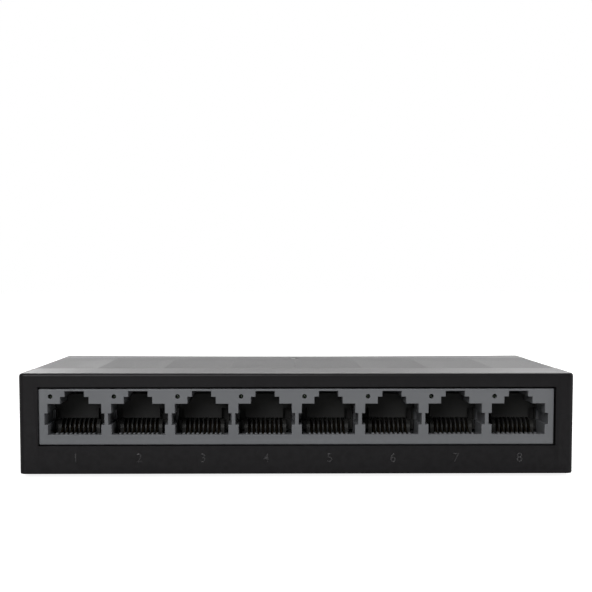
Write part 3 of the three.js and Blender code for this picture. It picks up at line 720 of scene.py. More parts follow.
# %% Solids for cutting
def as_object(name, skin):
    """A bare mesh object from a skin, used only to cut or to be cut."""
    points, faces = skin
    mesh = bpy.data.meshes.new(name)
    mesh.from_pydata(points.tolist(), [], faces)
    weld(mesh)
    thing = bpy.data.objects.new(name, mesh)
    bpy.context.scene.collection.objects.link(thing)
    return thing


def settle(thing):
    """Applies an object's modifiers: its mesh becomes what they make of it."""
    depsgraph = bpy.context.evaluated_depsgraph_get()
    result = bpy.data.meshes.new_from_object(thing.evaluated_get(depsgraph))
    thing.modifiers.clear()
    thing.data = result


def cut(thing, skins, operation="DIFFERENCE"):
    """Cuts skins out of an object, or joins them to it."""
    tool = as_object("tool", joined(skins))
    step = thing.modifiers.new("cut", "BOOLEAN")
    step.operation = operation
    step.solver = "EXACT"
    step.use_self = True
    step.object = tool
    settle(thing)
    bpy.data.objects.remove(tool)


def round_edges(thing, width):
    """Rounds the edges where two faces meet at more than 40 degrees, in two steps."""
    step = thing.modifiers.new("rounded", "BEVEL")
    step.width = width
    step.segments = 2
    step.limit_method = "ANGLE"
    step.angle_limit = math.radians(40)
    step.use_clamp_overlap = False
    step.miter_outer = "MITER_ARC"
    settle(thing)


def grown(outline, by):
    """An outline of level and upright edges, moved outwards: every corner moves by the sum
    of the outward normals of the two edges that meet there."""
    outline = np.asarray(outline, float)
    before = outline - np.roll(outline, 1, axis=0)
    after = np.roll(outline, -1, axis=0) - outline
    before /= np.linalg.norm(before, axis=1)[:, None]
    after /= np.linalg.norm(after, axis=1)[:, None]
    normals = (before + after)[:, ::-1] * np.array([1, -1])
    return outline + by * normals


def opening(outline, face, end, rim):
    """A tool for an opening with a rounded rim. The outline, anticlockwise in X and Z, is
    carried along Y from in front of the face to the end. Just behind the face it is wider
    by rim (1 - sin t), rim (1 - cos t) deep, so it leaves a quarter round."""
    turn = np.linspace(math.radians(12), math.pi / 2, 4)
    inwards = math.copysign(1, end - face)
    depth = face + inwards * rim * (1 - np.cos(turn))
    depth = np.concatenate([[face - inwards * MM], depth, [end]])
    wider = rim * (1 - np.sin(turn))
    wider = np.concatenate([wider[:1], wider, [0]])
    rings = [np.insert(grown(outline, by), 1, y, axis=1) for by, y in zip(wider, depth)]
    return tube_skin(np.stack(rings))


def rectangle(low, high):
    """An outline in X and Z, anticlockwise, between two corners."""
    return [(low[0], low[1]), (high[0], low[1]), (high[0], high[1]), (low[0], high[1])]


def take_mesh(thing):
    """The mesh of a bare object, which is then removed."""
    mesh = thing.data
    bpy.data.objects.remove(thing)
    return mesh


print("surface tools ready")

# %% [markdown]
# ## The cover
# The cover is one moulding: four walls with rounded corners, a small radius along the top
# edge, and a roof with a plain band at the front and the back and eight shallow flutes
# between. It is open below. We could bevel a box, but the flutes need a height for every
# point of the roof, so both the walls and the roof are worked out as grids:
#
# * the walls are a rounded rectangle carried upwards, moving in along the top radius;
# * the roof is a height over a grid of x and y, whose rim is the last outline of the wall.
#
# The openings are cut out of that closed solid afterwards. A bevel would round their edges,
# but it leaves creases in such wide flat faces, so each cutting tool is flared instead: it
# widens just under the face, and what it leaves is already a rounded rim.

# %% Sizes of the cover
cover_low, cover_high = corners("top_cover")
block_low, block_high = corners("port_block")
board_low, board_high = corners("circuit_board")
WALL = 2.0 * MM
CORNER = 1.2 * MM
TOP_EDGE = 0.7 * MM
LOW_EDGE = 0.35 * MM
RIM = 0.18 * MM
GAP = 0.25 * MM
GAP_LEFT = 0.02 * MM
GAP_RIGHT = 0.26 * MM
GAP_TOP = 0.3 * MM
GAP_LOW = 0.15 * MM
BAND = 16.3 * MM
BACK_BAND = 9.0 * MM
FLUTES = 8
FLUTE_DEPTH = 0.4 * MM
CREST = 0.02 * MM
FLUTE_START = 0.5 * MM
FLUTE_FADE = 12 * MM
SINK = 0.25 * MM
SIDE_SLOTS = 9
SLOT_PITCH = 4 * MM
SLOT_HALF = 0.9 * MM
SLOT_LOW = 8 * MM
SLOT_HIGH = 16 * MM
SLOT_MIDDLE = 4 * MM
BOSS_X = 50 * MM
ETCHED = 0.09
POLISHED = 0.08
PORTS = 8
PORT_PITCH = 13.97 * MM
WIRES = 8
WIRE_PITCH = 1.016 * MM
GUIDE_OFFSET = 5.28 * MM
guide_low, guide_high = corners("light_guide")
roof_half = cover_high[0] - TOP_EDGE
roof_back = cover_high[1] - TOP_EDGE
roof_corner = CORNER - TOP_EDGE
flutes_front = cover_low[1] + BAND
flutes_back = cover_high[1] - BACK_BAND


# %% Roof and walls
def port_x(port):
    """Middle of a socket, counted from 0 at the left."""
    return (port - (PORTS - 1) / 2) * PORT_PITCH


def smooth_step(value, start, end):
    """0 before start, 1 after end, and 3t^2 - 2t^3 between."""
    t = np.clip((value - start) / (end - start), 0, 1)
    return t * t * (3 - 2 * t)


def roof_height(x, y):
    """Height of the roof over a point. Each flute is a parabola across its width, softened
    at the crests, and it starts sharply behind the band and runs out gently at the back.
    The middle of the roof has sunk a little towards the back, as wide mouldings do."""
    pitch = (cover_high[0] - cover_low[0]) / FLUTES
    across = 2 * ((x - cover_low[0]) / pitch % 1) - 1
    depth = FLUTE_DEPTH * (1 - across**2)
    soft = np.sqrt(depth**2 + CREST**2) - CREST
    on = smooth_step(y, flutes_front, flutes_front + FLUTE_START)
    on = on * (1 - smooth_step(y, flutes_back - FLUTE_FADE, flutes_back))
    away = (y - cover_low[1]) / (cover_high[1] - cover_low[1])
    sunk = SINK * np.clip(away, 0, 1) ** 2 * (1 - (x / cover_high[0]) ** 2)
    return cover_high[2] - soft * on - sunk


def roof_lines():
    """Where the roof's grid lines lie: closer together at the crests and at the bands."""
    share = (1 - np.cos(np.linspace(0, np.pi, 15))) / 2
    pitch = (cover_high[0] - cover_low[0]) / FLUTES
    x = np.concatenate([cover_low[0] + (flute + share[:-1]) * pitch for flute in range(FLUTES)])
    inside = roof_half - roof_corner
    x = np.unique(np.concatenate([[-inside], x[np.abs(x) < inside], [inside]]))
    reach = roof_back - roof_corner
    stops = [-reach, flutes_front, flutes_front + FLUTE_START, flutes_back - FLUTE_FADE,
             flutes_back, reach]
    y = np.concatenate([np.linspace(start, end, lines)
                        for start, end, lines in zip(stops, stops[1:], (8, 7, 12, 13, 6))])
    return x, np.unique(np.round(y, 9))


def cover_skin():
    """The closed outside of the cover, with no openings."""
    x, y = roof_lines()
    arc = np.linspace(0, np.pi / 2, 7)
    # Outline, anticlockwise from the left end of the front: corner centres and angles.
    centre_x = cover_high[0] - CORNER
    centre_y = cover_high[1] - CORNER
    sweep = arc[1:-1]
    along_x = np.concatenate([x, centre_x + 0 * sweep, np.full(len(y), centre_x),
                              centre_x + 0 * sweep, x[::-1], -centre_x + 0 * sweep,
                              np.full(len(y), -centre_x), -centre_x + 0 * sweep])
    along_y = np.concatenate([np.full(len(x), -centre_y), -centre_y + 0 * sweep, y,
                              centre_y + 0 * sweep, np.full(len(x), centre_y),
                              centre_y + 0 * sweep, y[::-1], -centre_y + 0 * sweep])
    face = np.concatenate([np.full(len(x), -np.pi / 2), sweep - np.pi / 2, np.zeros(len(y)), sweep,
                           np.full(len(x), np.pi / 2), sweep + np.pi / 2, np.full(len(y), np.pi),
                           sweep + np.pi])
    turn = np.linspace(0, np.pi / 2, 7)
    foot = np.linspace(0, np.pi / 2, 4)
    radius = np.concatenate([CORNER - LOW_EDGE * (1 - np.sin(foot)),
                             CORNER - TOP_EDGE * (1 - np.cos(turn))])[:, None]
    ring_x = along_x + radius * np.cos(face)
    ring_y = along_y + radius * np.sin(face)
    rim = roof_height(ring_x[-1], ring_y[-1])
    low_rings = cover_low[2] + LOW_EDGE * (1 - np.cos(foot))[:, None] + 0 * rim
    high_rings = rim - TOP_EDGE + TOP_EDGE * np.sin(turn)[:, None]
    heights = np.concatenate([low_rings, high_rings])
    walls = np.stack([ring_x, ring_y, heights], axis=-1)
    rows, columns, _ = walls.shape
    wall_skin = (walls.reshape(-1, 3), grid_faces(rows, columns) + [list(range(columns))[::-1]])
    # Roof: the grid of x and y, with its two outer columns bent round the corners.
    lean = roof_corner * np.sin(arc)
    start_y = -roof_back + roof_corner - roof_corner * np.cos(arc)
    all_y = np.concatenate([start_y[:-1], y, -start_y[:-1][::-1]])
    reach = np.concatenate([lean[:-1], np.full(len(y), roof_corner), lean[:-1][::-1]])
    inside = roof_half - roof_corner
    roof_x = np.concatenate([-(inside + reach)[:, None], np.repeat(x[None, :], len(all_y), 0),
                             (inside + reach)[:, None]], axis=1)
    roof_y = np.repeat(all_y[:, None], roof_x.shape[1], axis=1)
    roof = np.stack([roof_x, roof_y, roof_height(roof_x, roof_y)], axis=-1)
    roof_skin = (roof.reshape(-1, 3), grid_faces(*roof_x.shape, closed=False))
    return joined([wall_skin, roof_skin])


# %% Openings of the cover
def window_tool():
    """The window in the front wall. The block sits a little to the left in it and low."""
    outline = rectangle((block_low[0] - GAP_LEFT, board_high[2] - GAP_LOW),
                        (block_high[0] + GAP_RIGHT, block_high[2] + GAP_TOP))
    return opening(outline, cover_low[1], cover_low[1] + 2 * WALL, RIM)


def inlet_tool():
    """The cut in the back wall for the power inlet. It runs out at the bottom."""
    jack_low, jack_high = corners("jack_housing")
    outline = rectangle((jack_low[0] - GAP, cover_low[2] - WALL),
                        (jack_high[0] + GAP, jack_high[2] + GAP))
    return opening(outline[::-1], cover_high[1], cover_high[1] - 2 * WALL, RIM)


def slot_tools():
    """Nine upright slots in each side wall: outlines in Y and Z, carried inwards along X."""
    skins = []
    for side in (-1, 1):
        face = side * cover_high[0]
        for slot in range(SIDE_SLOTS):
            y = SLOT_MIDDLE + (slot - (SIDE_SLOTS - 1) / 2) * SLOT_PITCH
            outline = rectangle((y - SLOT_HALF, SLOT_LOW), (y + SLOT_HALF, SLOT_HIGH))
            tool = opening(outline, face, face - side * 2 * WALL, RIM)
            skins.append(swung(tool, [1, 0, 2]))
    return skins


def make_cover():
    """The cover: hollowed, and opened for the sockets, the inlet, the air and the light."""
    cover = as_object("cover_blank", cover_skin())
    roof = cover_high[2] - WALL
    hollow = block([cover_low[0] + WALL, cover_low[1] + WALL, cover_low[2] - WALL],
                   [cover_high[0] - WALL, cover_high[1] - WALL, roof], 0.3 * MM, steps=2)
    cut(cover, [hollow])
    cut(cover, [window_tool(), inlet_tool(), *slot_tools()])
    lens_low, lens_high = corners("power_lens")
    middle = (lens_low + lens_high) / 2
    top = cover_high[2]
    hole = turned([(1.2 * MM, roof - WALL), (1.2 * MM, top - 0.3 * MM), (1.35 * MM, top - 0.1 * MM),
                   (1.35 * MM, top + WALL)], sides=32)
    cut(cover, [moved(hole, (middle[0], middle[1], 0))])
    return take_mesh(cover)


def screw_boss(x):
    """A tube that hangs from the roof, with a pilot hole, a fillet at its root and a rounded
    end: a profile of radius and height turned round the screw."""
    foot_low, foot_high = corners("foot_rear_right")
    y = (foot_low[1] + foot_high[1]) / 2
    top = cover_high[2] - WALL + 0.4 * MM
    end = 4.8 * MM
    profile = [(1.4 * MM, end + 8 * MM), (1.4 * MM, end + 0.3 * MM), (1.6 * MM, end),
               (3.0 * MM, end), (3.2 * MM, end + 0.2 * MM), (3.2 * MM, top - 1.2 * MM),
               (3.5 * MM, top - 0.7 * MM), (4.1 * MM, top - 0.4 * MM), (4.1 * MM, top),
               (0.0, top), (0.0, end + 8 * MM)]
    return moved(turned(profile), (x, y, 0))


def etch_flutes(material):
    """Makes the fluted part of the roof a little rougher than the bands, since it is a patch
    of its own in the mould, and the front rim smoother, as hands leave it. Both are added to
    the roughness high on the cover: the one between the bands, the other at the front."""
    tree = material.node_tree
    shader = tree.nodes["Principled BSDF"]
    smooth = shader.inputs["Roughness"].links[0].from_socket
    parts = add_node(tree, "ShaderNodeSeparateXYZ")
    connect(tree, add_node(tree, "ShaderNodeTexCoord").outputs["Object"], parts.inputs[0])
    behind = map_range(tree, parts.outputs["Y"], (flutes_front, flutes_front + 0.4 * MM),
                       (0.0, 1.0))
    before = map_range(tree, parts.outputs["Y"], (flutes_back - 3 * MM, flutes_back), (1.0, 0.0))
    front = cover_low[1] + TOP_EDGE
    rim = map_range(tree, parts.outputs["Y"], (front, front + 0.4 * MM), (-POLISHED, 0.0))
    high = map_range(tree, parts.outputs["Z"], (22.0 * MM, 22.2 * MM), (0.0, 1.0))
    etched = math_node(tree, "MULTIPLY", math_node(tree, "MULTIPLY", behind, before), ETCHED)
    both = math_node(tree, "MULTIPLY", math_node(tree, "ADD", etched, rim), high)
    connect(tree, math_node(tree, "ADD", smooth, both), shader.inputs["Roughness"])


etch_flutes(CASE)
cover_mesh = make_cover()
print("cover:", len(cover_mesh.polygons), "faces")
cover = dress("case_cover", cover_mesh, CASE, ["top_cover"], "root", 28.0)
bosses = joined([screw_boss(-BOSS_X), screw_boss(BOSS_X)])
make_piece("cover_bosses", bosses, CASE)

# %% [markdown]
# ## Numbers under the sockets
# Each socket has its number moulded into the front wall, low and plain, and only its edges
# catch the light. The figures are painted paler than the cover, a painted highlight that
# helps those edges show. Strokes carried along paths would work, but Blender's own plain
# figures are already closed outlines, so each is a text turned into a mesh, stood upright,
# and put into the wall so that only its rounded front stands out.

# %% Numbers
FIGURE_HEIGHT = 2.0 * MM
FIGURE_RAISE = 0.16 * MM
FIGURE_LOW = 3.4 * MM
FIGURE_RIGHT = 0.25 * MM


def figure_mesh(text):
    """A figure as a mesh in its own plane, one unit high, with a chamfered front edge."""
    curve = bpy.data.curves.new("figure", "FONT")
    curve.body = text
    curve.size = 1.43
    curve.align_x = "CENTER"
    curve.extrude = 0.08
    curve.bevel_depth = 0.06
    curve.bevel_resolution = 2
    curve.offset = -0.06
    curve.resolution_u = 6
    thing = bpy.data.objects.new("figure", curve)
    bpy.context.scene.collection.objects.link(thing)
    mesh = bpy.data.meshes.new_from_object(thing)
    bpy.data.objects.remove(thing)
    return mesh


def make_number(port):
    """One raised figure, upright on the front wall under its socket."""
    mesh = figure_mesh(str(port + 1))
    points = points_of(mesh)
    points[:, 0] -= (points[:, 0].min() + points[:, 0].max()) / 2
    front = points[:, 2].max()
    x = port_x(port) + FIGURE_RIGHT + points[:, 0] * FIGURE_HEIGHT
    y = cover_low[1] - FIGURE_RAISE + (front - points[:, 2]) * FIGURE_HEIGHT
    z = FIGURE_LOW + (points[:, 1] - points[:, 1].min()) * FIGURE_HEIGHT
    mesh.vertices.foreach_set("co", np.stack([x, y, z], axis=-1).ravel())
    weld(mesh)
    return dress(f"port_number_{port + 1}", mesh, FIGURE_PAINTED_HIGHLIGHT, (), "root", 50.0)


numbers = [make_number(port) for port in range(PORTS)]
print("numbers:", sum(len(number.data.polygons) for number in numbers), "faces")

# %% [markdown]
# ## The socket block
# One grey moulding holds all eight sockets. The mouth of a socket has the outline of the
# plug: a wide body, a step, and a slot above for the latch, with a notch in each side. Light
# catches the rounded edge of that outline, so the tool for the mouth is flared like the
# window's. Then plainer tools take out the depth of the body, the latch slot, the notches,
# the well for the insert and the hole for the light. Thin fingers between the wires are
# joined on last, because they stand in the space that the other tools clear.

# %% Outline of one socket
MOUTH_HALF = 5.87 * MM
STEP_HALF = 3.1 * MM
LATCH_HALF = 2.1 * MM
NOTCH_HALF = 6.57 * MM
MOUTH_LOW = board_high[2] + 2.28 * MM
MOUTH_HIGH = board_high[2] + 9.07 * MM
STEP_HIGH = board_high[2] + 10.6 * MM
LATCH_HIGH = board_high[2] + 11.87 * MM
NOTCH_LOW = board_high[2] + 4.46 * MM
NOTCH_HIGH = board_high[2] + 6.96 * MM
CAVITY_BACK = block_low[1] + 12.6 * MM
NOTCH_DEPTH = 11 * MM
WELL_HALF = 4.8 * MM
SILL = 1.4 * MM
FLOOR_DEPTH = 3.0 * MM
LIGHT_HOLE = 0.52 * MM
FINGER_HALF = 0.25 * MM
FINGER_LENGTH = 1.6 * MM
FINGER_HEIGHT = 0.48 * MM
FINGER_RISE = 0.2 * MM


def mirrored(half):
    """A closed outline from the points of its right half, bottom to top."""
    half = np.asarray(half, float)
    return np.concatenate([half, half[::-1] * np.array([-1, 1])])


BODY_OUTLINE = mirrored([(MOUTH_HALF, MOUTH_LOW), (MOUTH_HALF, MOUTH_HIGH),
                         (STEP_HALF, MOUTH_HIGH), (STEP_HALF, STEP_HIGH)])
MOUTH_OUTLINE = mirrored([(MOUTH_HALF, MOUTH_LOW), (MOUTH_HALF, NOTCH_LOW),
                          (NOTCH_HALF, NOTCH_LOW), (NOTCH_HALF, NOTCH_HIGH),
                          (MOUTH_HALF, NOTCH_HIGH), (MOUTH_HALF, MOUTH_HIGH),
                          (STEP_HALF, MOUTH_HIGH), (STEP_HALF, STEP_HIGH),
                          (LATCH_HALF, STEP_HIGH), (LATCH_HALF, LATCH_HIGH)])


# %% Cutting the block
def plain(outline, start, end, x=0.0):
    """An outline in X and Z carried along Y, with no rim."""
    rings = [np.insert(np.asarray(outline, float), 1, y, axis=1) for y in (start, end)]
    return moved(tube_skin(np.stack(rings)), (x, 0, 0))


def make_socket_block():
    """The block with its eight sockets, cut one kind of opening at a time."""
    xs = [port_x(port) for port in range(PORTS)]
    face = block_low[1]
    body_low = np.array([block_low[0], face, board_high[2]])
    thing = as_object("block_blank", block(body_low, block_high, 0.3 * MM, steps=3))
    rim = 0.14 * MM
    before = face - MM
    cut(thing, [moved(opening(MOUTH_OUTLINE, face, face + rim, rim), (x, 0, 0)) for x in xs])
    cut(thing, [plain(BODY_OUTLINE, before, CAVITY_BACK, x) for x in xs])
    latch = rectangle((-LATCH_HALF, MOUTH_HIGH), (LATCH_HALF, LATCH_HIGH))
    cut(thing, [plain(latch, before, CAVITY_BACK, x) for x in xs])
    notch = rectangle((-NOTCH_HALF, NOTCH_LOW), (NOTCH_HALF, NOTCH_HIGH))
    cut(thing, [plain(notch, before, face + NOTCH_DEPTH, x) for x in xs])
    well = rectangle((-WELL_HALF, board_high[2] - MM), (WELL_HALF, MOUTH_LOW + MM))
    cut(thing, [plain(well, face + SILL, CAVITY_BACK, x) for x in xs])
    floor = rectangle((-MOUTH_HALF, board_high[2] - MM), (MOUTH_HALF, MOUTH_LOW + MM))
    cut(thing, [plain(floor, face + FLOOR_DEPTH, CAVITY_BACK, x) for x in xs])
    angle = np.linspace(0, 2 * np.pi, 24, endpoint=False)
    ring = LIGHT_HOLE * np.stack([np.cos(angle), np.sin(angle)], axis=-1)
    ring[:, 1] += guide_high[2] - 0.8 * MM
    cut(thing, [plain(ring, before, block_high[1] + MM, x - GUIDE_OFFSET) for x in xs])
    cut(thing, [finger(x + (gap - WIRES / 2) * WIRE_PITCH) for x in xs
                for gap in range(WIRES + 1)], "UNION")
    return take_mesh(thing)


def finger(x):
    """A thin finger that reaches back from the sill, with rounded edges."""
    low = (x - FINGER_HALF, block_low[1] + SILL - 0.5 * MM, MOUTH_LOW - FINGER_HEIGHT)
    high = (x + FINGER_HALF, block_low[1] + SILL + FINGER_LENGTH, MOUTH_LOW + FINGER_RISE)
    return block(low, high, 0.08 * MM, steps=2)


def block_peg(side):
    """A round peg under the block that finds its hole in the board, pointed at its end."""
    r = 1.5 * MM
    low = block_low[2]
    top = board_high[2] + 0.5 * MM
    profile = [(0, low), (0.75 * r, low), (r, low + 0.4 * MM), (r, top), (0, top)]
    return moved(turned(profile, 24), (side * 2 * PORT_PITCH, CAVITY_BACK - 2 * r, 0))


socket_mesh = make_socket_block()
print("socket block:", len(socket_mesh.polygons), "faces")
dress("socket_block", socket_mesh, SOCKET, ["port_block"], "root", 35.0)
pegs = joined([block_peg(-1), block_peg(1)])
make_piece("socket_block_pegs", pegs, SOCKET)

# %% [markdown]
# ## Parts that keep their shape
# The base plate, the inserts, the inlet's housing and the circuit board already have their
# true shape in the frame, with every hole and pocket. Their edges are sharp, though, and no
# moulding has a sharp edge. The housing's rim is what a plug meets, so a copy of that node
# is merged and a small bevel rounds it. The others only take their finish: on a wide flat
# face full of slots, a bevel leaves faint creases across the flat.


# %% Rounded copies
def copy_of(node):
    """A bare object with a merged copy of a node's mesh."""
    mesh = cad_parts[node].data.copy()
    mesh.materials.clear()
    shape = bmesh.new()
    shape.from_mesh(mesh)
    bmesh.ops.remove_doubles(shape, verts=shape.verts, dist=2e-6)
    shape.to_mesh(mesh)
    shape.free()
    thing = bpy.data.objects.new(node + "_copy", mesh)
    bpy.context.scene.collection.objects.link(thing)
    return thing


def rounded_node(name, node, material, width):
    """A piece that stands for one node: the node's own shape with its edges rounded."""
    thing = copy_of(node)
    round_edges(thing, width)
    return dress(name, take_mesh(thing), material, [node], "root", 35.0)


housing = rounded_node("inlet_housing", "jack_housing", INSERT, 0.12 * MM)
refinish(CASE, "base_cover")
refinish(INSERT, *[f"contact_insert_{port + 1}" for port in range(PORTS)])
print("inlet housing:", len(housing.data.polygons), "faces")

# %% [markdown]
# ## Contact wires
# Behind each sill lie eight springs of gold-plated wire. A wire comes out of the floor,
# turns back on itself round a small hairpin, and rises into its slot in the comb, where
# the plug presses it down. A wire is a rounded section carried along that path. All eight
# of a socket ride on its own body, which swings about the hairpins.

# %% Wires
WIRE_RISE = math.radians(19.2)


def wire_path(root):
    """Hairpin and arm in Y and Z: a straight foot, half a turn of radius r about the root,
    and an arm that rises at the wire's angle, bends down near its end and stops."""
    radius = 0.15 * MM
    turn = np.linspace(-np.pi / 2, -3 * np.pi / 2 + WIRE_RISE, 9)
    bend_y = root[1] + radius * np.cos(turn)
    bend_z = root[2] + radius * np.sin(turn)
    reach = np.linspace(0.5, 9.2, 12) * MM
    droop = 0.22 * MM * smooth_step(reach, 6.5 * MM, 9.2 * MM)
    arm_y = bend_y[-1] + reach * math.cos(WIRE_RISE)
    arm_z = bend_z[-1] + reach * math.sin(WIRE_RISE) - droop
    foot_y = root[1] + np.array([0.9, 0.3]) * MM
    foot_z = np.full(2, root[2] - radius)
    y = np.concatenate([foot_y, bend_y, arm_y])
    z = np.concatenate([foot_z, bend_z, arm_z])
    return np.stack([0 * y, y, z], axis=-1)


def make_wires(port):
    """The eight wires of one socket."""
    node = f"contact_springs_{port + 1}"
    low, _ = corners(node)
    root = np.array([0, low[1] + 0.3 * MM, low[2] + 0.3 * MM])
    section = oval_section(0.18 * MM, 0.13 * MM, sides=12, power=3.0)
    one = carried(section, wire_path(root), (1, 0, 0))
    places = port_x(port) + (np.arange(WIRES) - (WIRES - 1) / 2) * WIRE_PITCH
    skin = joined([moved(one, (x, 0, 0)) for x in places])
    return make_piece(f"wires_{port + 1}", skin, GOLD, [node], f"contacts_{port + 1}",
                      50.0)


wires = [make_wires(port) for port in range(PORTS)]
print("wires:", len(wires), "sets of", WIRES)

# %% [markdown]
# ## Light guides
# The lights sit on the board, out of sight. A clear guide leads the light of each one up a
# leg, round a bend and along a prong to a hole beside its socket, where its domed tip shows
# as a small dark dot while the light is off. A prong and its leg are one round section
# carried along an L-shaped path; a bar joins all eight behind the socket block.

# %% Guides
GUIDE_RADIUS = 0.44 * MM
TIP_BACK = 0.7 * MM


def guide_rod(x):
    """Prong, quarter bend and leg. The tip is domed: near it the section's scale follows a
    quarter circle, sqrt(1 - (1 - t)^2)."""
    axis_z = guide_high[2] - 0.8 * MM
    axis_y = guide_high[1] - 0.8 * MM
    bend = 0.5 * MM
    turn = np.linspace(0, np.pi / 2, 6)
    start = guide_low[1] + TIP_BACK
    tip = start + np.array([0, 0.02, 0.06, 0.12, 0.2, 0.3]) * MM
    prong = np.concatenate([tip, np.linspace(start + MM, axis_y - bend, 6)])
    y = np.concatenate([prong, axis_y - bend + bend * np.sin(turn), [axis_y, axis_y]])
    z = np.concatenate([np.full(len(prong), axis_z), axis_z - bend * (1 - np.cos(turn)),
                        [12 * MM, guide_low[2]]])
    share = np.clip((y - start) / (0.3 * MM), 0.01, 1)
    swell = np.sqrt(1 - (1 - share) ** 2)
    swell[len(prong):] = 1
    path = np.stack([x + 0 * y, y, z], axis=-1)
    return carried(oval_section(GUIDE_RADIUS, GUIDE_RADIUS, 20), path, (1, 0, 0), swell)


bar = block([guide_low[0], guide_low[1] + 15.4 * MM, guide_high[2] - 1.6 * MM], guide_high,
            0.3 * MM)
legs = []
for port in range(PORTS):
    x = port_x(port) - GUIDE_OFFSET
    legs.append(guide_rod(x))
    legs.append(block([x - 0.8 * MM, guide_high[1] - 1.5 * MM, guide_low[2]],
                      [x + 0.8 * MM, guide_high[1] - 0.1 * MM, guide_high[2] - 1.2 * MM],
                      0.25 * MM))
make_piece("light_guides", joined([bar, *legs]), CLEAR, ["light_guide"])


# %% Power light
def make_power_lens():
    """A clear pin that fills its hole in the roof: domed end, stem, and a flange that stops
    it from falling through, as one turned profile."""
    low, high = corners("power_lens")
    middle = (low + high) / 2
    r = 1.1 * MM
    flange = high[2] - 2.85 * MM
    top = high[2]
    profile = [(0, top), (0.5 * r, top - 0.02 * MM), (0.85 * r, top - 0.08 * MM),
               (r, top - 0.22 * MM), (r, flange + 1.0 * MM), (2.0 * r - 0.15 * MM, flange + MM),
               (2.0 * r, flange + 0.85 * MM), (2.0 * r, flange + 0.15 * MM),
               (2.0 * r - 0.15 * MM, flange), (r, flange), (r, low[2] + 0.15 * MM),
               (0.86 * r, low[2]), (0, low[2])]
    skin = moved(turned(profile, 32), (middle[0], middle[1], 0))
    make_piece("power_light_lens", skin, CLEAR, ["power_lens"])


def make_diode(name, node):
    """A surface-mounted light: a white package with a dome on it, and two tinned ends."""
    low, high = corners(node)
    body = block(low + np.array([0.15, 0, 0.1]) * MM, high - np.array([0.15, 0, 0.2]) * MM,
                 0.05 * MM)
    dome = block(low + np.array([0.3, 0.1, 0.4]) * MM, high - np.array([0.3, 0.1, 0]) * MM,
                 0.15 * MM)
    make_piece(name, joined([body, dome]), WHITE, [node])
    ends = [block([x0, low[1] + 0.03 * MM, low[2]], [x1, high[1] - 0.03 * MM, low[2] + 0.25 * MM],
                  0.04 * MM)
            for x0, x1 in ((low[0], low[0] + 0.3 * MM), (high[0] - 0.3 * MM, high[0]))]
    make_piece(name + "_ends", joined(ends), TIN)


make_power_lens()
make_diode("power_diode", "power_led")
for port in range(PORTS):
    make_diode(f"port_diode_{port + 1}", f"port_led_{port + 1}")
print("light guides and", PORTS + 1, "diodes")

# %% [markdown]
# ## Feet
# Four rubber discs are glued into shallow recesses under the case. A disc rests on a narrow
# ring, not on its whole face, so that it sits flat on a table that is not. The ring, the
# hollow inside it and the rounded rim are one profile turned round the middle of the foot.

# %% Feet
FEET = ["foot_front_left", "foot_front_right", "foot_rear_left", "foot_rear_right"]


def make_foot(node):
    """One foot: radius and height, from the hollow out to the rim and up to the glued face."""
    low, high = corners(node)
    middle = (low + high) / 2
    radius = (high[0] - low[0]) / 2
    rest = low[2]
    profile = [(0, rest + 0.30 * MM), (0.50 * radius, rest + 0.28 * MM),
               (0.58 * radius, rest + 0.20 * MM), (0.62 * radius, rest + 0.05 * MM),
               (0.66 * radius, rest), (0.84 * radius, rest), (0.92 * radius, rest + 0.06 * MM),
               (0.97 * radius, rest + 0.20 * MM), (radius, rest + 0.5 * MM),
               (radius, high[2] - 0.1 * MM), (radius - 0.1 * MM, high[2]), (0, high[2])]
    skin = moved(turned(profile, 64), (middle[0], middle[1], 0))
    make_piece("rubber_" + node, skin, RUBBER, [node], sharp=50.0)


for node in FEET:
    make_foot(node)
print("feet:", len(FEET))

# %% [markdown]
# ## Screws
# Two screws hold the base to the cover, hidden under the rear feet, and two hold the board
# to the base. Each has a pan head with a cross recess and a thread. A thread is not a row of
# rings but one groove that climbs, so the shank's radius depends on the angle as well as on
# the height. The recess is cut out of the head with two crossed wedges.


# %% Screws
def threaded(radius, depth, pitch, low, high):
    """A shank with a thread: r = radius - depth * |2 frac(z / pitch - a / 2 pi) - 1|, and a
    point at the far end, where r falls to a third."""
    rows = int(abs(high - low) / pitch * 6) + 2
    z = np.linspace(low, high, rows)[:, None]
    angle = np.linspace(0, 2 * np.pi, 20, endpoint=False)[None, :]
    wave = np.abs(2 * ((z / pitch - angle / (2 * np.pi)) % 1) - 1)
    taper = np.clip(np.abs(high - z) / (1.5 * MM), 0, 1) * 0.67 + 0.33
    r = (radius - depth * wave) * taper
    return tube_skin(np.stack([r * np.cos(angle), r * np.sin(angle), z + 0 * angle], axis=-1))


def screw_head(radius, face, seat):
    """A pan head as a turned profile: a domed face, a rounded rim and a flat seat."""
    up = 1 if face > seat else -1
    tall = abs(face - seat)
    t = np.linspace(0, np.pi / 2, 8)
    r = radius * np.sin(t)
    z = face - up * 0.72 * tall * (1 - np.cos(t))
    profile = [*zip(r, z), (radius, seat + up * 0.05 * MM), (radius - 0.05 * MM, seat), (0, seat)]
    return turned(profile, 40)


def cross_tool(reach, face, depth):
    """Two crossed wedges, wider at the face of the head than at the bottom of the recess."""
    skins = []
    for quarter in range(2):
        half = np.array([[1, 0.24], [-1, 0.24], [-1, -0.24], [1, -0.24]]) * reach
        rings = [np.insert(half * scale, 2, z, axis=1)
                 for scale, z in ((1.0, face - 0.4 * depth), (1.0, face), (0.45, face + depth))]
        skin = tube_skin(np.stack(rings))
        skins.append(swung(skin, [1, 0, 2]) if quarter else skin)
    return skins


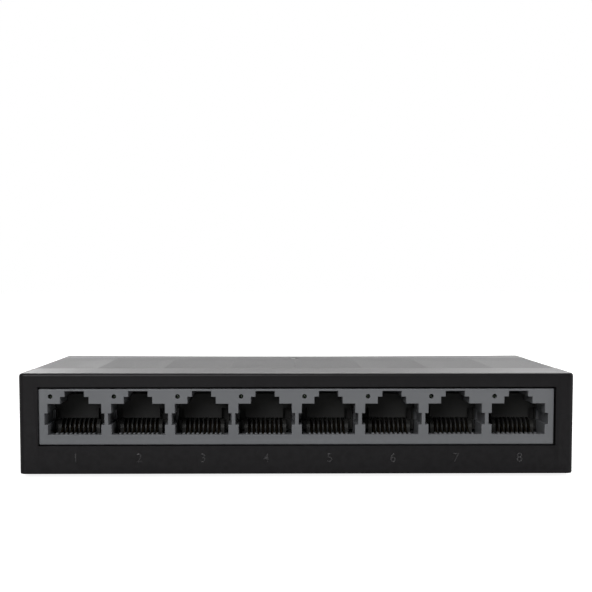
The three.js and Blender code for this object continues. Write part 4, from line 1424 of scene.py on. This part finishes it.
def make_screw(node, name, head_radius, shank_radius, head_up, head_tall):
    """One screw in its hole, head up or head down."""
    low, high = corners(node)
    middle = (low + high) / 2
    face, seat, tip = ((high[2], high[2] - head_tall, low[2]) if head_up
                       else (low[2], low[2] + head_tall, high[2]))
    head = as_object("head", screw_head(head_radius, face, seat))
    for wedge in cross_tool(0.55 * head_radius, face, math.copysign(0.6 * head_tall, seat - face)):
        cut(head, [wedge])
    mesh = take_mesh(head)
    faces = [list(polygon.vertices) for polygon in mesh.polygons]
    start = seat + math.copysign(0.05 * MM, face - seat)
    shank = threaded(shank_radius, 0.22 * shank_radius, 0.8 * MM, start, tip)
    skin = moved(joined([(points_of(mesh), faces), shank]), (middle[0], middle[1], 0))
    make_piece(name, skin, STEEL, [node], sharp=32.0)


for side in ("left", "right"):
    make_screw(f"case_screw_{side}", f"base_screw_{side}", 2.7 * MM, 1.3 * MM, False, 1.5 * MM)
    make_screw(f"board_screw_{side}", f"board_holder_{side}", 2.3 * MM, 1.0 * MM, True, 1.6 * MM)
print("screws:", 4)

# %% [markdown]
# ## Power inlet
# The inlet is a black housing with a round bore. Inside stand a pin down the middle and, to
# one side, a sprung leaf that presses on the barrel of the plug. The pin is turned, with a
# rounded nose; its blade, the leaf and the strip under it are stamped from thin sheet, so
# each is a flat rounded section carried along its bends.

# %% Pin, strip and leaf
def make_jack_pin():
    """The turned pin, and the blade behind it that goes down through the board."""
    low, high = corners("jack_pin")
    middle_x = (low[0] + high[0]) / 2
    r = 1.0 * MM
    axis = high[2] - r
    end = high[1]
    start = low[1] + 0.3 * MM
    nose = np.linspace(0, np.pi / 2, 7)
    profile = [(0, start), (r, start), (r, end - 0.6 * r)]
    profile += [(r * math.cos(t), end - 0.6 * r + 0.6 * r * math.sin(t)) for t in nose[1:-1]]
    profile += [(0, end)]
    pin = moved(swung(turned(profile, 40), ALONG_Y), (middle_x, 0, axis))
    blade = block([low[0], low[1], low[2]], [high[0], low[1] + 0.6 * MM, high[2]], 0.1 * MM)
    make_piece("inlet_pin", joined([pin, blade]), NICKEL, ["jack_pin"])


def sheet(path, half_width, thickness, middle_x):
    """Thin sheet of one width, carried along its bends in Y and Z."""
    path = np.insert(np.asarray(path, float), 0, middle_x, axis=1)
    return carried(oval_section(half_width, thickness / 2, 16, power=6.0), path, (1, 0, 0))


def make_jack_strip():
    """The strip that stands in the board behind the leaf."""
    low, high = corners("jack_strip")
    y = (low[1] + high[1]) / 2
    half_x = (high[0] - low[0]) / 2
    path = [(y, low[2]), (y, low[2] + 0.2 * MM), (y, high[2] - 0.2 * MM), (y, high[2])]
    skin = sheet(path, half_x, high[1] - low[1], low[0] + half_x)
    make_piece("inlet_strip", skin, NICKEL, ["jack_strip"])


def make_jack_leaf():
    """The leaf: a rolled root, a flat arm that climbs, and an end that curls down again so
    that the plug's barrel slides under it and does not catch."""
    low, high = corners("jack_leaf")
    half_x = (high[0] - low[0]) / 2
    middle_x = low[0] + half_x
    root = np.array([low[1] + 0.4 * MM, low[2] + 0.4 * MM])
    slope = math.radians(11.3)
    reach = np.linspace(0.2, 7.4, 14) * MM
    curl = 0.3 * MM * smooth_step(reach, 5.6 * MM, 7.4 * MM)
    arm_y = root[0] + reach * math.cos(slope)
    arm_z = root[1] + reach * math.sin(slope) + 0.05 * MM - curl
    arm = sheet(np.stack([arm_y, arm_z], axis=-1), half_x, 0.28 * MM, middle_x)
    roll = swung(turned([(0, -half_x), (0.34 * MM, -half_x), (0.4 * MM, 0.06 * MM - half_x),
                         (0.4 * MM, half_x - 0.06 * MM), (0.34 * MM, half_x), (0, half_x)], 24),
                 ALONG_X)
    roll = moved(roll, (middle_x, root[0], root[1]))
    make_piece("inlet_leaf_spring", joined([arm, roll]), NICKEL, ["jack_leaf"], "inlet_leaf",
               50.0)


make_jack_pin()
make_jack_strip()
make_jack_leaf()
print("inlet: pin, strip and leaf")

# %% [markdown]
# ## Circuit board
# The board keeps its own shape, since its edges really are sharp; it only gets its finish.
# On it stand the parts that the case hides: the switch chip under its heat sink, four
# transformers behind the sockets, and at the inlet a coil, a regulator, two capacitors and
# a crystal. Their bent legs are short carried sections, all of one kind.

# %% Legs
BOARD_TOP = board_high[2]
refinish(BOARD, "circuit_board")


def bent_leg(out, drop, width):
    """A bent leg that starts at (0, 0), goes out along X, drops, and ends in a flat foot."""
    path = np.array([(-0.3, drop), (0.25, drop), (0.38, drop - 0.05), (0.45, drop - 0.16),
                     (0.55, 0.16), (0.62, 0.07), (0.74, 0.06), (1.0, 0.06)])
    path[:, 0] *= out / MM
    section = oval_section(width / 2, 0.06 * MM, 8, power=5.0)
    line = np.stack([path[:, 0], 0 * path[:, 0], path[:, 1]], axis=-1) * MM
    return carried(section, line, (0, 1, 0))


def legs_along(half_body, count, pitch, out, drop, width, sides):
    """Rows of legs round a part that is centred on (0, 0), standing on its board. Sides
    names the sides: 0 and 2 face along X, 1 and 3 along Y."""
    one = bent_leg(out, drop, width)
    skins = []
    for side in sides:
        angle = side * math.pi / 2
        turn = np.array([[math.cos(angle), math.sin(angle), 0],
                         [-math.sin(angle), math.cos(angle), 0], [0, 0, 1]])
        for step in range(count):
            place = (half_body[side % 2], (step - (count - 1) / 2) * pitch, 0)
            points, faces = moved(one, place)
            skins.append((points @ turn, faces))
    return joined(skins)


def middle_of(node):
    """Middle of a node in X and Y, at the top of the board."""
    low, high = corners(node)
    return np.array([(low[0] + high[0]) / 2, (low[1] + high[1]) / 2, BOARD_TOP])


# %% Switch chip and heat sink
def make_switch_chip():
    """A square black package with legs on all four sides and a round mark in one corner."""
    low, high = corners("switch_chip")
    lip = 0.85 * MM
    body = as_object("chip", block(low + np.array([lip, lip, 0.1 * MM]),
                                   high - np.array([lip, lip, 0]), 0.12 * MM))
    spot = turned([(0, high[2] - 0.08 * MM), (0.5 * MM, high[2] - 0.08 * MM),
                   (0.6 * MM, high[2] + 0.1 * MM), (0, high[2] + 0.1 * MM)], 24)
    cut(body, [moved(spot, (low[0] + 2 * lip, low[1] + 2 * lip, 0))])
    dress("switch_chip_body", take_mesh(body), EPOXY, ["switch_chip"], "root", 35.0)
    half = (high[0] - low[0]) / 2 - lip
    legs = legs_along((half, half), 18, 0.65 * MM, lip, 0.7, 0.28 * MM, range(4))
    make_piece("switch_chip_legs", moved(legs, middle_of("switch_chip")), TIN)


def make_heat_sink():
    """An extrusion: the outline of a base and six fins in X and Z, carried along Y, slightly
    smaller at both sawn ends. Each fin's tip is rounded with three points a side."""
    low, high = corners("heat_sink")
    fins = 6
    fin = 1.0 * MM
    base = low[2] + 1.5 * MM
    step = (high[0] - low[0] - fin) / (fins - 1)
    tip = np.array([(1.0, -0.35), (0.93, -0.12), (0.7, 0.0), (0.3, 0.0), (0.07, -0.12),
                    (0.0, -0.35)])
    outline = [(low[0], low[2]), (high[0], low[2])]
    for number in range(fins - 1, -1, -1):
        left = low[0] + number * step
        tops = [(left + a * fin, high[2] + b * MM) for a, b in tip]
        outline += [*([] if number == fins - 1 else [(left + fin, base)]), *tops]
        outline += [(left, base)] if number else []
    outline = np.array(outline)
    middle = outline.mean(axis=0)
    near = outline + (middle - outline) * 0.008
    rings = [np.insert(line, 1, y, axis=1)
             for line, y in ((near, low[1]), (outline, low[1] + 0.1 * MM),
                             (outline, high[1] - 0.1 * MM), (near, high[1]))]
    make_piece("finned_heat_sink", tube_skin(np.stack(rings)), ALUMINIUM, ["heat_sink"],
               sharp=30.0)


make_switch_chip()
make_heat_sink()
print("switch chip and heat sink")


# %% Transformers, regulator, coil and crystal
def make_packaged(name, node, lip, legs, pitch, drop, width, sides):
    """A moulded package with a chamfer, a round mark and rows of bent legs."""
    low, high = corners(node)
    side_lip = np.array([lip if 0 in sides else 0, lip if 1 in sides else 0, 0])
    lift = np.array([0, 0, 0.15 * MM])
    body_low = low + side_lip + lift
    body_high = high - side_lip
    body = as_object("package", block(body_low, body_high, 0.25 * MM, steps=2))
    spot = turned([(0, high[2] - 0.1 * MM), (0.45 * MM, high[2] - 0.1 * MM),
                   (0.55 * MM, high[2] + 0.1 * MM), (0, high[2] + 0.1 * MM)], 20)
    cut(body, [moved(spot, (body_low[0] + MM, body_low[1] + MM, 0))])
    dress(name + "_body", take_mesh(body), EPOXY, [node], "root", 35.0)
    half = (body_high - body_low) / 2
    rows = legs_along((half[0], half[1]), legs, pitch, lip, drop, width, sides)
    make_piece(name + "_legs", moved(rows, middle_of(node)), TIN)


def make_coil():
    """A shielded coil: a ferrite block with cut corners and a round plate let into its top."""
    low, high = corners("inductor")
    middle = middle_of("inductor")
    top = high[2]
    body = as_object("coil", block(low, high, 0.3 * MM, 1.6 * MM, steps=4))
    seat = turned([(0, top - 0.3 * MM), (2.75 * MM, top - 0.3 * MM), (2.75 * MM, top + 0.2 * MM),
                   (0, top + 0.2 * MM)], 48)
    cut(body, [moved(seat, (middle[0], middle[1], 0))])
    dress("coil_body", take_mesh(body), FERRITE, ["inductor"], "root", 35.0)
    plate = turned([(0, top - 0.4 * MM), (2.5 * MM, top - 0.4 * MM), (2.5 * MM, top - 0.15 * MM),
                    (2.4 * MM, top - 0.05 * MM), (0, top - 0.05 * MM)], 48)
    make_piece("coil_plate", moved(plate, (middle[0], middle[1], 0)), FERRITE)
    ends = [block([middle[0] + side * 3.0 * MM - 0.7 * MM, middle[1] - 1.2 * MM, low[2]],
                  [middle[0] + side * 3.0 * MM + 0.7 * MM, middle[1] + 1.2 * MM,
                   low[2] + 0.4 * MM], 0.1 * MM) for side in (-1, 1)]
    make_piece("coil_ends", joined(ends), TIN)


def make_crystal():
    """A drawn can with round ends on a slightly wider base plate."""
    low, high = corners("crystal")
    inset = np.array([0.35, 0.35, 0]) * MM
    depth = high[1] - low[1]
    base = block(low, [high[0], high[1], low[2] + 0.5 * MM], 0.15 * MM, 0.499 * depth, steps=8)
    can = block(low + inset + np.array([0, 0, 0.3]) * MM, high - inset, 0.6 * MM,
                0.499 * depth - 0.35 * MM, steps=8)
    make_piece("crystal_can", joined([base, can]), CAN, ["crystal"], sharp=50.0)


for number in range(1, 5):
    make_packaged(f"line_transformer_{number}", f"transformer_{number}", 1.3 * MM, 10, 1.5 * MM,
                  2.2, 0.6 * MM, (1, 3))
make_packaged("voltage_regulator", "regulator", 1.0 * MM, 4, 1.27 * MM, 0.8, 0.42 * MM, (1, 3))
make_coil()
make_crystal()
print("packaged parts ready")


# %% Capacitors
def make_capacitor(name, node):
    """A can in a printed sleeve. The sleeve is a turned profile with the rolled groove near
    its foot; the can's top is a disc let into it, with a cross pressed in to let it vent."""
    low, high = corners(node)
    middle = middle_of(node)
    r = (high[0] - low[0]) / 2
    foot = low[2]
    top = high[2]
    sleeve = [(0, foot), (0.93 * r, foot), (r, foot + 0.3 * MM), (r, foot + 1.0 * MM),
              (0.95 * r, foot + 1.35 * MM), (0.95 * r, foot + 1.65 * MM), (r, foot + 2.0 * MM),
              (r, top - 0.35 * MM), (0.97 * r, top - 0.1 * MM), (0.92 * r, top),
              (0.84 * r, top), (0.82 * r, top - 0.2 * MM), (0, top - 0.2 * MM)]
    place = (middle[0], middle[1], 0)
    make_piece(name + "_sleeve", moved(turned(sleeve, 64), place), SLEEVE, [node],
               sharp=50.0)
    disc = turned([(0, top - 0.35 * MM), (0.8 * r, top - 0.35 * MM), (0.8 * r, top - 0.12 * MM),
                   (0.76 * r, top - 0.05 * MM), (0, top - 0.05 * MM)], 64)
    cap = as_object("cap", moved(disc, place))
    for long, short in ((0.55 * r, 0.09 * r), (0.09 * r, 0.55 * r)):
        cut(cap, [block([middle[0] - long, middle[1] - short, top - 0.15 * MM],
                        [middle[0] + long, middle[1] + short, top + 0.2 * MM], 0.03 * MM)])
    dress(name + "_top", take_mesh(cap), CAN, (), "root", 35.0)


make_capacitor("large_capacitor", "capacitor_large")
make_capacitor("small_capacitor", "capacitor_small")


# %% Small parts and solder
SOLDER_ROWS = (8.9 * MM, 6.4 * MM)


def chip_row(x, y, count, step, along_x=True):
    """Bodies and tinned ends of a row of small resistors, each 1.6 by 0.8 mm."""
    bodies = []
    ends = []
    half = np.array([0.8, 0.4]) * MM if along_x else np.array([0.4, 0.8]) * MM
    slim = np.array([0.28 * MM, 0]) if along_x else np.array([0, 0.28 * MM])
    wide = half - slim
    for number in range(count):
        centre = np.array([x, y]) + number * np.array(step)
        low = centre - wide
        high = centre + wide
        bodies.append(block([*low, BOARD_TOP], [*high, BOARD_TOP + 0.42 * MM], 0.05 * MM, steps=1))
        for sign in (-1, 1):
            end = centre + sign * (wide + slim / 2) * (slim > 0)
            reach = np.where(slim > 0, slim / 2, half)
            ends.append(block([*(end - reach), BOARD_TOP], [*(end + reach), BOARD_TOP + 0.46 * MM],
                              0.06 * MM, steps=1))
    return bodies, ends


def small_parts():
    """Rows of small parts round the chip, behind the transformers and by the inlet."""
    rows = [chip_row(-48 * MM, -1.4 * MM, 16, (2.6 * MM, 0), False),
            chip_row(6 * MM, -1.4 * MM, 16, (2.6 * MM, 0), False),
            chip_row(20 * MM, 2 * MM, 6, (0, 2.2 * MM)), chip_row(0, 2 * MM, 6, (0, 2.2 * MM)),
            chip_row(-40 * MM, 8 * MM, 5, (0, 1.9 * MM))]
    make_piece("small_parts", joined([b for bodies, _ in rows for b in bodies]), CERAMIC)
    make_piece("small_part_ends", joined([e for _, ends in rows for e in ends]), TIN)
    return sum(len(bodies) for bodies, _ in rows)


def solder_joints():
    """Cones of solder under the board, where the wires of the sockets come through it. They
    lie in two rows, because the wires go to the front and the back row by turns."""
    low = board_low[2]
    cone = [(0, low - 0.7 * MM), (0.12 * MM, low - 0.66 * MM), (0.2 * MM, low - 0.4 * MM),
            (0.3 * MM, low - 0.18 * MM), (0.5 * MM, low - 0.04 * MM), (0.55 * MM, low + 0.05 * MM),
            (0, low + 0.05 * MM)]
    joint = turned(cone, 10)
    skins = []
    for port in range(PORTS):
        for wire in range(WIRES):
            x = port_x(port) + (wire - (WIRES - 1) / 2) * WIRE_PITCH
            row = block_low[1] + SOLDER_ROWS[wire % 2]
            skins.append(moved(joint, (x, row, 0)))
    make_piece("solder_joints", joined(skins), TIN)
    return len(skins)


print("small parts:", small_parts(), "solder joints:", solder_joints())
